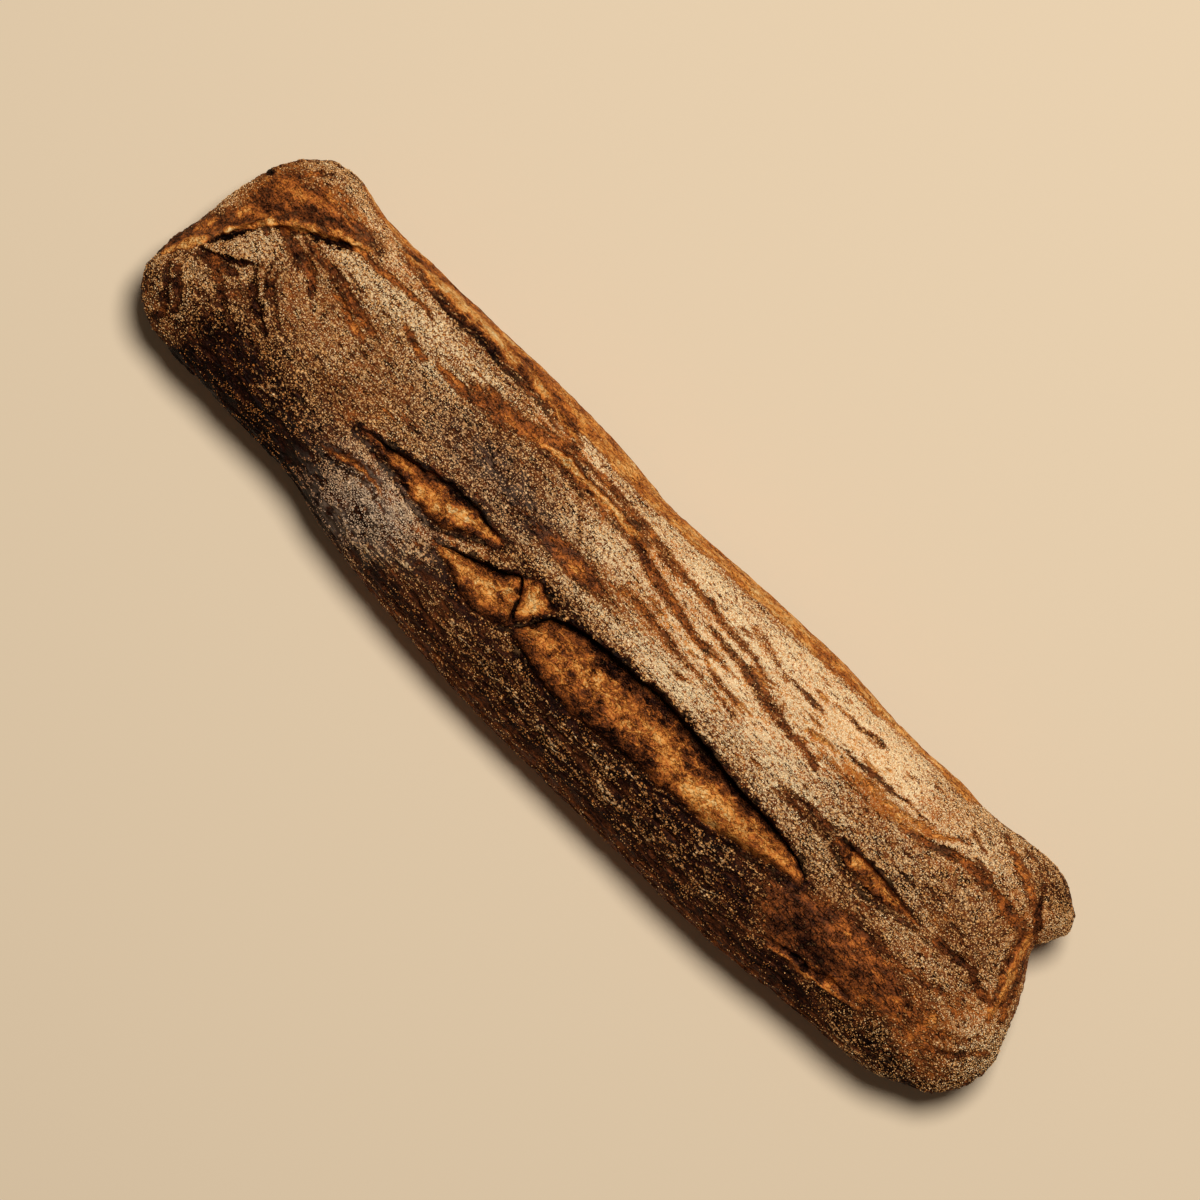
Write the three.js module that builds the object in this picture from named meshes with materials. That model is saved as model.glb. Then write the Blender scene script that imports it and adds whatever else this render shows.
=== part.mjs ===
// A long, flat, dark-baked ciabatta loaf, as one solid.
//
// Millimetres, +Z up. The loaf lies on its flat base along X. The origin is the middle of the
// base's bounding box. -Y is the near side, +Y the far side, and +X the end with two lobes.
//
// The solid is an outline seen from above, puffed up into a pillow with a flat base: a rounded
// heel below the widest line and a rounded shoulder above it. The splits, seams and bulges of
// the crust are then pressed into its top or raised from it.
import * as THREE from "three";

// ---- driving dimensions ---------------------------------------------------------------------
const CROWN_HEIGHT = 46; // top of the loaf's middle
const END_DROP = 8; // how much lower the top is at the two ends
const SIDE_DROP = 3; // how much lower the top is along the two long sides
const HALF_LENGTH = 200; // from the middle to an end, for END_DROP
const HALF_WIDTH = 50; // from the middle to a side, for SIDE_DROP and SHOULDER_LEAN
const WIDEST_Z = 14; // height of the widest line, where heel and shoulder meet, in the middle
const END_RISE = 11; // how much higher the widest line is at the two ends
const END_RISE_POWER = 1.2; // 1 makes it rise evenly from the middle, more makes it rise late
const HEEL = 0.8; // how far the rounded heel reaches in under the loaf, per mm of its height
const SHOULDER = 25; // how far the rounded shoulder reaches in over the loaf
const SHOULDER_LEAN = 7; // the near shoulder is this much longer, and the far one shorter
const SWELL = 0.9; // height of the slow unevenness of the top

// ---- mesh fineness --------------------------------------------------------------------------
const STATIONS = 90; // steps along the loaf
const TOP_STEPS = 36; // steps over the top of a cross-section, from side to side
const BASE_STEPS = TOP_STEPS / 2; // steps under it
const FINE = 160; // samples of a line before it is stepped evenly
const LONG_EDGE_SAMPLES = 90; // straight pieces in each long edge of the outline
const END_SAMPLES = 60; // and in each end
const PATH_SAMPLES = 5; // straight pieces between two points of a split's path

// ---- the outline, seen from above: four edges that run from corner to corner -----------------
const NEAR_LEFT = [-193, -35];
const NEAR_RIGHT = [193, -33];
const FAR_RIGHT = [184.5, 45.2];
const FAR_LEFT = [-188, 38.5];
const NEAR_EDGE = [
  NEAR_LEFT, [-181, -39.5], [-150, -40.3], [-115, -40.8], [-93, -45.4], [-60, -49.4],
  [-15, -52.2], [45, -51.4], [100, -50], [140, -45.4], [172, -42], NEAR_RIGHT,
];
const FAR_EDGE = [
  FAR_LEFT, [-180, 45.6], [-168, 47.7], [-153, 45], [-125, 45.5], [-80, 47.3],
  [-45, 47.4], [-12, 45.4], [25, 48], [65, 50], [100, 48.7], [125, 50], [138, 49.6],
  [162, 53.2], [175, 51.4], FAR_RIGHT,
];
const LEFT_END = [
  NEAR_LEFT, [-199.3, -27], [-200.6, -14], [-198, 0], [-196.5, 15], [-194.8, 23],
  [-192.5, 31], FAR_LEFT,
];
// The notch between the two lobes of dough is at the point nearest to X 182.
const RIGHT_END = [
  NEAR_RIGHT, [199.5, -23], [200.8, -11], [196.5, 1], [190, 14.5], [182.2, 26.5],
  [184.5, 33.5], [187, 39.5], FAR_RIGHT,
];

// ---- what the crust does ----------------------------------------------------------------------
// A path's points are [x, y, half width]. side is where the lip is: 1 is left of the path.
// A split has torn open: its floor lies deepest under the lip and rises to the other edge.
const SPLITS = [
  {
    name: "main split", depth: 10, lip: 2.5, side: 1,
    path: [
      [-19, -17, 5], [-8, -17.5, 11], [10, -16.8, 13], [35, -15, 12.4], [60, -14.8, 10.2],
      [82, -13.6, 7], [100, -12.4, 4], [114, -11.5, 1],
    ],
  },
  {
    name: "middle split", depth: 7, lip: 2, side: 1,
    path: [
      [-62, -20.5, 1], [-50, -20, 4.5], [-38, -18.8, 8.5], [-28, -16.5, 9.5], [-21, -14, 8],
      [-17, -13, 5],
    ],
  },
  {
    name: "upper split", depth: 6, lip: 2.5, side: 1,
    path: [
      [-128, -11, 1], [-105, -11, 4], [-85, -10.4, 6], [-70, -9.5, 8.3], [-60, -7.5, 7],
      [-48, -4, 1.5],
    ],
  },
  {
    name: "small tear", depth: 3, lip: 1, side: 1,
    path: [
      [-120, -27, 0.6], [-108, -24.8, 2.6], [-96, -22, 2.2], [-86, -22, 1.4], [-78, -23.4, 0.6],
    ],
  },
  {
    name: "far side split", depth: 3.5, lip: 1.6, side: -1,
    path: [[-146, 41, 1], [-128, 41.2, 3], [-100, 41.8, 3.6], [-75, 41, 2.8], [-55, 37, 1.2]],
  },
  {
    name: "far crease", depth: 3, lip: 1.2, side: 1,
    path: [
      [-100, 22, 1.5], [-84, 23.8, 3], [-64, 29.5, 4.2], [-50, 31.2, 4], [-30, 31, 3.4],
      [-8, 29.8, 3], [8, 25, 1.5],
    ],
  },
  {
    name: "end slash", depth: 3, lip: 1.2, side: 1,
    path: [[102, 5, 1], [114, 4.2, 3], [126, 3.6, 3.6], [140, 4.4, 2], [156, 4.8, 0.8]],
  },
  {
    name: "far fissure", depth: 2, lip: 0.8, side: -1,
    path: [[78, 24, 1], [92, 25.6, 2.4], [112, 25.4, 2.2], [136, 29.4, 1]],
  },
];
// A seam is where the folded sheet of dough ends: a lip on its inner side, a groove beside it.
const SEAMS = [
  {
    name: "left seam", depth: 4, lip: 2, side: -1,
    path: [
      [-199, -15, 1.5], [-191.5, -3, 3], [-188, 6, 3.2], [-181, 17, 3.6], [-170, 25, 3.8],
      [-152, 32, 2],
    ],
  },
  {
    name: "right seam", depth: 3.6, lip: 1.5, side: -1,
    path: [[166, 50, 1.5], [171, 39, 3], [179, 24, 3.5], [184, 9, 2.8], [188, -1, 1.5]],
  },
];
// A bulge is a blister or a fold of the crust that stands proud.
const BULGES = [
  { name: "blister", x: 137, y: -20, radiusX: 26, radiusY: 11, height: 2.2 },
  { name: "near corner fold", x: -191, y: -29, radiusX: 8, radiusY: 10, height: 2.5 },
  { name: "far right lobe", x: 178, y: 42, radiusX: 9, radiusY: 10, height: 2 },
  { name: "strand between the splits", x: -47, y: -11, radiusX: 20, radiusY: 4, height: 2.5 },
  { name: "crumb in the middle split", x: -22, y: -13, radiusX: 6, radiusY: 6, height: 3.5 },
];

// ---- helpers ------------------------------------------------------------------------------------
const clamp01 = (t) => Math.min(1, Math.max(0, t));
const smooth = (t) => clamp01(t) ** 2 * (3 - 2 * clamp01(t));
const bell = (t) => Math.exp(-t * t);
const quarterCircle = (t) => Math.sqrt(1 - (1 - clamp01(t)) ** 2);
const crowdedToEnds = (t) => (1 - Math.cos(Math.PI * t)) / 2;

/** A smooth curve through [x, y] points. */
function curveThrough(points) {
  return new THREE.SplineCurve(points.map(([x, y]) => new THREE.Vector2(x, y)));
}

/** The count + 1 parameters from 0 to 1 that step evenly by length along at(t). */
function evenSteps(at, count) {
  const samples = Array.from({ length: FINE + 1 }, (_, i) => crowdedToEnds(i / FINE));
  const lengths = [0];
  let last = at(0);
  for (const t of samples.slice(1)) {
    const point = at(t);
    lengths.push(lengths.at(-1) + point.distanceTo(last));
    last = point;
  }
  const steps = [0];
  let i = 1;
  for (let k = 1; k < count; k++) {
    const wanted = (lengths.at(-1) * k) / count;
    while (lengths[i] < wanted) i += 1;
    const part = (wanted - lengths[i - 1]) / (lengths[i] - lengths[i - 1]);
    steps.push(samples[i - 1] + part * (samples[i] - samples[i - 1]));
  }
  return [...steps, 1];
}

// ---- the outline ----------------------------------------------------------------------------------
const near = curveThrough(NEAR_EDGE);
const far = curveThrough(FAR_EDGE);
const left = curveThrough(LEFT_END);
const right = curveThrough(RIGHT_END);

/** A point inside the outline: u runs along the loaf and v across it, both from 0 to 1. */
function planPoint(u, v) {
  const mix = (a, b, t) => a.clone().lerp(b, t);
  const alongEdges = mix(near.getPoint(u), far.getPoint(u), v);
  const alongEnds = mix(left.getPoint(v), right.getPoint(v), u);
  const nearCorners = mix(near.getPoint(0), near.getPoint(1), u);
  const farCorners = mix(far.getPoint(0), far.getPoint(1), u);
  return alongEdges.add(alongEnds).sub(mix(nearCorners, farCorners, v));
}

/** The straight pieces of one edge, each as its start, its unit direction and its length. */
function straightPieces(curve, count) {
  const points = curve.getPoints(count);
  return points.slice(1).map((end, i) => {
    const length = points[i].distanceTo(end);
    const alongX = (end.x - points[i].x) / length;
    const alongY = (end.y - points[i].y) / length;
    return { start: points[i], length, alongX, alongY };
  });
}

const outline = [
  ...straightPieces(near, LONG_EDGE_SAMPLES),
  ...straightPieces(far, LONG_EDGE_SAMPLES),
  ...straightPieces(left, END_SAMPLES),
  ...straightPieces(right, END_SAMPLES),
];

/**
 * Distance in from the outline, blended so that it has no ridge where two edges are equally near.
 * It sums 1 / distance^4 along the outline: beside one long straight edge that sum is
 * (pi / 2) / distance^3, which the last line turns back into the distance.
 */
function inset(p) {
  const LEAST_OFFSET = 0.01;
  let sum = 0;
  for (const { start, length, alongX, alongY } of outline) {
    const dx = p.x - start.x;
    const dy = p.y - start.y;
    const offset = Math.max(LEAST_OFFSET, Math.abs(dx * alongY - dy * alongX));
    const square = offset ** 2;
    const partTo = (s) => s / (square * (square + s * s)) + Math.atan(s / offset) / offset ** 3;
    const foot = dx * alongX + dy * alongY;
    sum += (partTo(length - foot) - partTo(-foot)) / 2;
  }
  return Math.cbrt(Math.PI / 2 / sum);
}

// ---- the crust's relief ---------------------------------------------------------------------------
/** Adds to a split or seam the straight pieces of its path, as [x, y, half width] points. */
function withPieces(crease) {
  const curve = new THREE.CatmullRomCurve3(crease.path.map((point) => new THREE.Vector3(...point)));
  const points = curve.getPoints(crease.path.length * PATH_SAMPLES);
  return { ...crease, pieces: points.slice(1).map((end, i) => [points[i], end]) };
}

const splits = SPLITS.map(withPieces);
const seams = SEAMS.map(withPieces);

/** Where p lies across a crease: 0 is on its path, 1 is its lip's edge and -1 its other edge. */
function placeAcross(p, { pieces, side }) {
  let nearest = { gap: Infinity };
  for (const [a, b] of pieces) {
    const dx = b.x - a.x;
    const dy = b.y - a.y;
    const t = clamp01(((p.x - a.x) * dx + (p.y - a.y) * dy) / (dx * dx + dy * dy));
    const offX = p.x - a.x - t * dx;
    const offY = p.y - a.y - t * dy;
    const gap = Math.hypot(offX, offY);
    if (gap < nearest.gap) {
      nearest = { gap, turn: dx * offY < dy * offX ? -1 : 1, width: a.z + t * (b.z - a.z) };
    }
  }
  const { gap, turn, width } = nearest;
  return { across: (gap * turn * side) / width, width };
}

/** Height change from one split: a trough that is steep under its lip, and the raised lip. */
function splitRelief(p, split) {
  const { across, width } = placeAcross(p, split);
  const opening = smooth(width / 4);
  const gentleSide = smooth((across + 1.05) / 1.85);
  const steepSide = smooth((1.1 - across) / 0.3);
  const lip = bell((across - 1.1 - 1.4 / width) / (0.1 + 1.6 / width));
  return opening * (split.lip * lip - split.depth * Math.min(gentleSide, steepSide));
}

/** Height change from one seam: a groove, and the edge of the sheet beside it. */
function seamRelief(p, seam) {
  const { across, width } = placeAcross(p, seam);
  const opening = smooth(width / 3);
  return opening * (seam.lip * bell((across - 1.6) / 0.8) - seam.depth * bell(across / 0.9));
}

function bulgeRelief(p, { x, y, radiusX, radiusY, height }) {
  return height * bell(Math.hypot((p.x - x) / radiusX, (p.y - y) / radiusY));
}

/** The slow unevenness of hand-stretched dough: two crossing waves. */
function swell({ x, y }) {
  return (SWELL * (Math.sin(x / 21 + y / 33) + Math.sin(x / 37 - y / 17 + 1.3))) / 2;
}

function relief(p) {
  const total = (items, rule) => items.reduce((sum, item) => sum + rule(p, item), 0);
  const creases = total(splits, splitRelief) + total(seams, seamRelief);
  return swell(p) + creases + total(BULGES, bulgeRelief);
}

// ---- the loaf's surface -----------------------------------------------------------------------------
/** Height of the top away from its shoulder, before its relief. */
function crown(p) {
  const endDrop = END_DROP * Math.abs(p.x / HALF_LENGTH) ** 5;
  const sideDrop = SIDE_DROP * (p.y / HALF_WIDTH) ** 2;
  return CROWN_HEIGHT - endDrop - sideDrop;
}

/** Height of the widest line, which is higher at the ends, where the loaf curls off its base. */
function widestHeight(p) {
  return WIDEST_Z + END_RISE * Math.abs(p.x / HALF_LENGTH) ** END_RISE_POWER;
}

const onRim = (u, v) => u === 0 || u === 1 || v === 0 || v === 1;

/** The top's surface: a quarter ellipse up the shoulder, then the crown. */
function topPoint(u, v) {
  const p = planPoint(u, v);
  const reach = SHOULDER - (SHOULDER_LEAN * p.y) / HALF_WIDTH;
  const rise = onRim(u, v) ? 0 : quarterCircle(inset(p) / reach);
  const foot = widestHeight(p);
  const z = foot + (crown(p) - foot) * rise + relief(p) * smooth(rise);
  return new THREE.Vector3(p.x, p.y, z);
}

/** The underside: a quarter ellipse round the heel, then the flat base. */
function basePoint(u, v) {
  const p = planPoint(u, v);
  const foot = widestHeight(p);
  const fall = onRim(u, v) ? 0 : quarterCircle(inset(p) / (HEEL * foot));
  return new THREE.Vector3(p.x, p.y, foot * (1 - fall));
}

/** Closed geometry from a top and a base grid of points that share the outline as their rim. */
function loafGeometry() {
  const positions = [];
  const indices = [];
  const addPoint = (p) => {
    positions.push(p.x, p.y, p.z);
    return positions.length / 3 - 1;
  };
  const addQuad = (a, b, c, d) => indices.push(a, b, c, a, c, d);
  const addQuadWithMiddle = (a, middle, b, c, d) => {
    indices.push(a, middle, d, middle, c, d, middle, b, c);
  };

  const stations = evenSteps((u) => topPoint(u, 0.5), STATIONS);
  const topRows = stations.map((u) => (
    evenSteps((v) => topPoint(u, v), TOP_STEPS).map((v) => addPoint(topPoint(u, v)))
  ));
  // The base takes its rim from the top: all of an end row, and both ends of each other row.
  const baseRows = stations.map((u, i) => (
    evenSteps((v) => basePoint(u, v), BASE_STEPS).map((v, j) => (
      onRim(u, v) ? topRows[i][j * 2] : addPoint(basePoint(u, v))
    ))
  ));
  for (let i = 0; i < STATIONS; i++) {
    const [top, nextTop] = [topRows[i], topRows[i + 1]];
    for (let j = 0; j < TOP_STEPS; j++) addQuad(top[j], nextTop[j], nextTop[j + 1], top[j + 1]);
  }
  for (let i = 1; i < STATIONS - 1; i++) {
    const [base, nextBase] = [baseRows[i], baseRows[i + 1]];
    for (let j = 0; j < BASE_STEPS; j++) addQuad(base[j], base[j + 1], nextBase[j + 1], nextBase[j]);
  }
  // An end row has the top's points, so each base quad beside it has a middle point in that side.
  const [first, last] = [topRows[0], topRows[STATIONS]];
  const [afterFirst, beforeLast] = [baseRows[1], baseRows[STATIONS - 1]];
  for (let j = 0; j < BASE_STEPS; j++) {
    const k = 2 * j;
    addQuadWithMiddle(first[k], first[k + 1], first[k + 2], afterFirst[j + 1], afterFirst[j]);
    addQuadWithMiddle(last[k + 2], last[k + 1], last[k], beforeLast[j], beforeLast[j + 1]);
  }

  const geometry = new THREE.BufferGeometry();
  geometry.setAttribute("position", new THREE.Float32BufferAttribute(positions, 3));
  geometry.setIndex(indices);
  geometry.computeVertexNormals();
  geometry.computeBoundingBox();
  const { min, max } = geometry.boundingBox;
  return geometry.translate(-(min.x + max.x) / 2, -(min.y + max.y) / 2, -min.z);
}

const CRUST = new THREE.MeshStandardMaterial({ color: 0x7d5426, roughness: 0.85, metalness: 0 });

const loaf = new THREE.Mesh(loafGeometry(), CRUST);
loaf.name = "loaf";

const ciabatta = new THREE.Group();
ciabatta.add(loaf);
export default ciabatta;
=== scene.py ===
"""A long, flat, dark-baked ciabatta with a floured crust and torn splits.

Lengths in the shape data are in millimetres, in the loaf's own frame: +X along the loaf towards
the end with two lobes, +Y towards the far side, +Z up from the base. MM turns them into metres.
The loaf is one closed mesh, and the loose grains of flour on it are three more. Its crust's
state at each point (how dark it is baked, how thick the flour lies) is worked out here and kept
as named attributes, which the material reads.
"""
import itertools
import math
from types import SimpleNamespace

import bpy
import mathutils
import numpy as np
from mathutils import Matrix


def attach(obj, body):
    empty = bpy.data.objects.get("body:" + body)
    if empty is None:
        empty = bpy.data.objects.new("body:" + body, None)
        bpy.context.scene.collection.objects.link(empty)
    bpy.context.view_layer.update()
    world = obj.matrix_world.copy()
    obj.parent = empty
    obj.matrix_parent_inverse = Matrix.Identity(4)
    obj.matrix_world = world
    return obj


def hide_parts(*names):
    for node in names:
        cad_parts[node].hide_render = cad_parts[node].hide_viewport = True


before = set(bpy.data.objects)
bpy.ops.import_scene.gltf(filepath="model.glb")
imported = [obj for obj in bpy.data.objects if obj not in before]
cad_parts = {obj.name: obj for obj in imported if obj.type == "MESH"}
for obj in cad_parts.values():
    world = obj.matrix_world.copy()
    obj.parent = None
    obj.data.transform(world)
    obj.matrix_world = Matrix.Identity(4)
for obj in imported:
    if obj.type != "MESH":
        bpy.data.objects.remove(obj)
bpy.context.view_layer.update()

MM = 0.001

# ---- driving dimensions: the same as the CAD solid's ----
CROWN_HEIGHT = 46.0
END_DROP = 8.0
END_DROP_POWER = 5
SIDE_DROP = 3.0
HALF_LENGTH = 200.0
HALF_WIDTH = 50.0
WIDEST_Z = 14.0
END_RISE = 11.0  # how much higher the widest line is at the loaf's ends
END_RISE_POWER = 1.2
HEEL = 0.8  # how far the heel reaches in under the loaf, per mm of its height
SHOULDER = 25.0
SHOULDER_LEAN = 7.0
SWELL = 0.9
SWELL_WAVES = ((21, 33, 0), (37, -17, 1.3))  # length along X, length along Y, phase

# ---- mesh fineness ----
STATIONS = 500  # steps along the loaf
TOP_STEPS = 166  # steps over the top of a cross-section
GUIDE_STATIONS = 126  # cross-sections that are measured to place the steps
GUIDE_SAMPLES = 400  # samples in each of them
HEEL_RINGS = (0.25, 0.9, 2.0, 3.6, 5.8, 8.8, 13.0, 21.0)  # inset of each ring under the loaf
SIDE_PARTS = 90  # straight parts that stand for one of the outline's long edges
END_PARTS = 60  # and for one of its ends
CURVE_POINTS = 200  # points that stand for a long edge where only its Y is wanted
SPLIT_POINTS = 24  # points for each of a split's stations
MARK_PARTS = 6  # straight parts between two points of a mark
MARK_REACH = 12.0  # how far from its line a mark is still drawn
SEAM_REACH = 16.0
FAR_AWAY = 1e3  # a distance for points that a feature doesn't reach

# ---- the outline, seen from above ----
NEAR_LEFT = (-193, -35)
NEAR_RIGHT = (193, -33)
FAR_RIGHT = (184.5, 45.2)
FAR_LEFT = (-188, 38.5)
NEAR_EDGE = (
    NEAR_LEFT, (-181, -39.5), (-150, -40.3), (-115, -40.8), (-93, -45.4), (-60, -49.4),
    (-15, -52.2), (45, -51.4), (100, -50), (140, -45.4), (172, -42), NEAR_RIGHT,
)
FAR_EDGE = (
    FAR_LEFT, (-180, 45.6), (-168, 47.7), (-153, 45), (-125, 45.5), (-80, 47.3),
    (-45, 47.4), (-12, 45.4), (25, 48), (65, 50), (100, 48.7), (125, 50), (138, 49.6),
    (162, 53.2), (175, 51.4), FAR_RIGHT,
)
LEFT_END = (
    NEAR_LEFT, (-199.3, -27), (-200.6, -14), (-198, 0), (-196.5, 15), (-194.8, 23),
    (-192.5, 31), FAR_LEFT,
)
RIGHT_END = (
    NEAR_RIGHT, (199.5, -23), (200.8, -11), (196.5, 1), (190, 14.5), (182.2, 26.5),
    (184.5, 33.5), (187, 39.5), FAR_RIGHT,
)
OUTLINE = (
    (NEAR_EDGE, SIDE_PARTS), (FAR_EDGE, SIDE_PARTS), (LEFT_END, END_PARTS), (RIGHT_END, END_PARTS),
)

# ---- small mathematics ----


def smooth(t):
    """0 below 0, 1 above 1, and an S-shaped rise between."""
    t = np.clip(t, 0, 1)
    return t * t * (3 - 2 * t)


def ramp(value, start, end):
    """The S-shaped rise from 0 at start to 1 at end, in either direction."""
    return smooth((value - start) / (end - start))


def bell(t):
    return np.exp(-t * t)


def quarter_circle(t):
    return np.sqrt(np.clip(1 - (1 - np.clip(t, 0, 1)) ** 2, 0, 1))


def mix(a, b, t):
    return a + (b - a) * t


def curve(points, t):
    """Points of a smooth (Catmull-Rom) curve at parameters t from 0 to 1."""
    points = np.asarray(points, float)
    last = len(points) - 1
    place = np.clip(np.asarray(t, float), 0, 1) * last
    i = np.minimum(place.astype(int), last - 1)
    w = (place - i)[..., None]
    p0, p1 = points[np.maximum(i - 1, 0)], points[i]
    p2, p3 = points[i + 1], points[np.minimum(i + 2, last)]
    slope1, slope2 = (p2 - p0) / 2, (p3 - p1) / 2
    cubic = 2 * p1 - 2 * p2 + slope1 + slope2
    square = -3 * p1 + 3 * p2 - 2 * slope1 - slope2
    return ((cubic * w + square) * w + slope1) * w + p1


def curve_height(points, x):
    """The Y of a curve that runs along the loaf, at each x."""
    line = curve(points, np.linspace(0, 1, CURVE_POINTS))
    return np.interp(x, line[:, 0], line[:, 1])


HASH_FACTORS = (374761393, 668265263, 1440662683)
HASH_MIX = 1274126177
SEED_STEP = 31.7  # each seed's noise is cut from the same field, this many cells further on
NOISE_GAIN = 1.6  # brings the sum of the gradients to about -1 to 1


def noise(points, size, seed):
    """Smooth gradient noise, about -1 to 1, whose waves are about size (mm, per axis) long."""
    cell = np.asarray(points, float) / np.asarray(size, float) + SEED_STEP * seed
    low = np.floor(cell)
    part = cell - low
    fade = part * part * part * (part * (part * 6 - 15) + 10)
    total = np.zeros(len(cell))
    for corner in itertools.product((0, 1), repeat=3):
        corner = np.array(corner)
        mixed = ((low + corner).astype(np.int64) * HASH_FACTORS).sum(1)
        mixed = (mixed ^ (mixed >> 13)) * HASH_MIX & 0xFFFFFFFF
        angle = (mixed & 0xFFFF) * (2 * math.pi / 0x10000)
        height = ((mixed >> 16) & 0xFFFF) * (2 / 0xFFFF) - 1
        radius = np.sqrt(1 - height * height)
        gradient = np.stack([radius * np.cos(angle), radius * np.sin(angle), height], 1)
        weight = np.prod(np.where(corner, fade, 1 - fade), 1)
        total += weight * ((part - corner) * gradient).sum(1)
    return total * NOISE_GAIN


def layered_noise(points, size, seed, layers=3):
    """Noise with finer, weaker noise on top of it."""
    size = np.asarray(size, float)
    total = sum(noise(points, size / 2**k, seed + k) / 2**k for k in range(layers))
    return total / NOISE_GAIN


# ---- the outline's plan and the distance in from it ----


def plan(u, v):
    """Points inside the outline: u runs along the loaf and v across it, both from 0 to 1."""
    u1, v1 = u[..., None], v[..., None]
    near, far = curve(NEAR_EDGE, u), curve(FAR_EDGE, u)
    left, right = curve(LEFT_END, v), curve(RIGHT_END, v)
    corners = mix(
        mix(np.array(NEAR_LEFT, float), np.array(NEAR_RIGHT, float), u1),
        mix(np.array(FAR_LEFT, float), np.array(FAR_RIGHT, float), u1),
        v1,
    )
    return mix(near, far, v1) + mix(left, right, u1) - corners


def inset(xy):
    """Distance in from the outline, blended so that it has no ridge between two near edges.

    It sums 1 / distance^4 along the outline: beside one long straight edge that sum is
    (pi / 2) / distance^3, which the last line turns back into the distance.
    """
    total = np.zeros(len(xy))
    for points, count in OUTLINE:
        corners = curve(points, np.linspace(0, 1, count + 1))
        for start, end in zip(corners[:-1], corners[1:]):
            length = math.dist(start, end)
            along = (end - start) / length
            rel = xy - start
            offset = np.maximum(0.01, np.abs(rel[:, 0] * along[1] - rel[:, 1] * along[0]))
            square = offset**2
            foot = rel @ along
            for s, sign in ((length - foot, 1), (-foot, -1)):
                part = s / (square * (square + s * s)) + np.arctan(s / offset) / offset**3
                total += sign * part / 2
    return np.cbrt(math.pi / 2 / total)


# ---- features of the crust ----
# A split has torn open. Its stations are (x, y of its near edge, y of its far edge). The far
# edge is the lip of the sheet above it, and the crumb inside bulges up towards the near edge.
MAIN_SPLIT = dict(
    depth=6.8, lip=2.6, bulge=2.6, crease=2.6, char=3.0, burn=0.85,
    stations=(
        (-21.5, -23.4, -22.6), (-18.6, -25.6, -17), (-15.4, -26.8, -10.6), (-11, -28, -7.6),
        (-4, -29.6, -5.4),
        (6, -30, -3.9), (20, -29.2, -2.9), (31, -27.8, -2.4), (42, -26.6, -2.2), (54, -25.4, -2.9),
        (65, -24, -4), (76, -22.3, -4.9), (86, -20.3, -5.5), (96, -17.8, -6.4),
        (104, -15.6, -8.8), (110, -14, -10.8), (115, -12.2, -12),
    ),
)
MIDDLE_SPLIT = dict(
    depth=4.6, lip=2.2, bulge=2.2, crease=1.8, char=2.4, burn=0.6,
    stations=(
        (-64, -21.6, -21), (-56, -24.2, -18), (-49, -26.5, -15.2), (-43, -28.4, -12.4),
        (-37, -29.3, -9.8), (-32, -28.6, -7.2), (-29, -27.6, -10.6), (-26, -26, -16),
        (-23, -24, -21.6),
    ),
)
# The wedge of crumb between the middle split and the main one.
WEDGE = dict(
    depth=1.8, lip=0.4, bulge=1.4, crease=1.6, char=1.2, burn=0.9,
    stations=(
        (-32, -8, -7), (-29, -12.4, -5.6), (-26, -17.4, -5.2), (-22.6, -22.6, -5.6),
        (-20, -18.6, -6.4), (-17, -12.6, -7.6), (-15, -9.4, -8.4),
    ),
)
UPPER_SPLIT = dict(
    depth=3.4, lip=2.0, bulge=1.2, crease=1.6, char=1.9, burn=0.9,
    stations=(
        (-114, -12.9, -12.4), (-107, -13.4, -11.1), (-99, -13.9, -9.4), (-91, -14.8, -7.8),
        (-83, -16, -5.8), (-75, -17.4, -3.8), (-66, -18.2, -2), (-60, -15, -2),
        (-53, -10.8, -3), (-46, -7.2, -3.7), (-41, -4.6, -4.2),
    ),
)
SMALL_TEAR = dict(
    depth=2.2, lip=0.9, bulge=0.4, crease=0.8, char=0.6, burn=0.2,
    stations=(
        (-123, -27.6, -27), (-112, -27, -24.8), (-104, -25.8, -22), (-96, -23.6, -20.6),
        (-90, -23.4, -20.8), (-83, -24.2, -23), (-79, -24, -23.6),
    ),
)
FAR_SPLIT = dict(
    depth=2.3, lip=0.8, bulge=0.5, crease=1.0, char=0.4, burn=0.25,
    stations=(
        (-144, 40.4, 41), (-134, 39.4, 43), (-120, 39.2, 44.9), (-105, 38.6, 45.4),
        (-90, 39, 45.4), (-80, 38.8, 45), (-70, 38.8, 43.2), (-60, 36.9, 41), (-51, 36, 38),
    ),
)
FAR_CREASE = dict(
    depth=2.4, lip=1.2, bulge=0.6, crease=0.8, char=0.4, burn=0.1,
    stations=(
        (-62, 27.2, 27.8), (-57, 27.6, 30.6), (-50, 27.9, 33.2), (-43, 27.3, 32.2),
        (-30, 27.5, 31.6), (-19, 27.8, 31.8), (-12, 27.4, 30.6), (-5, 26.6, 27.4),
    ),
)
END_SLASH = dict(
    depth=2.6, lip=1.0, bulge=0.8, crease=1.2, char=0.7, burn=0.4,
    stations=(
        (104, 4.8, 5.4), (111, 2.2, 7.4), (118, 0.6, 8), (126, -0.2, 7.8), (133, 1, 7),
        (141, 2.4, 5.8), (149, 3.6, 5), (156, 4.4, 4.8),
    ),
)
SPLITS = (
    MAIN_SPLIT, MIDDLE_SPLIT, WEDGE, UPPER_SPLIT, SMALL_TEAR, FAR_SPLIT, FAR_CREASE, END_SLASH,
)


NEAR_EDGE_WAVE = 0.35  # how far a split's near edge wanders, per mm of its crease


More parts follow.
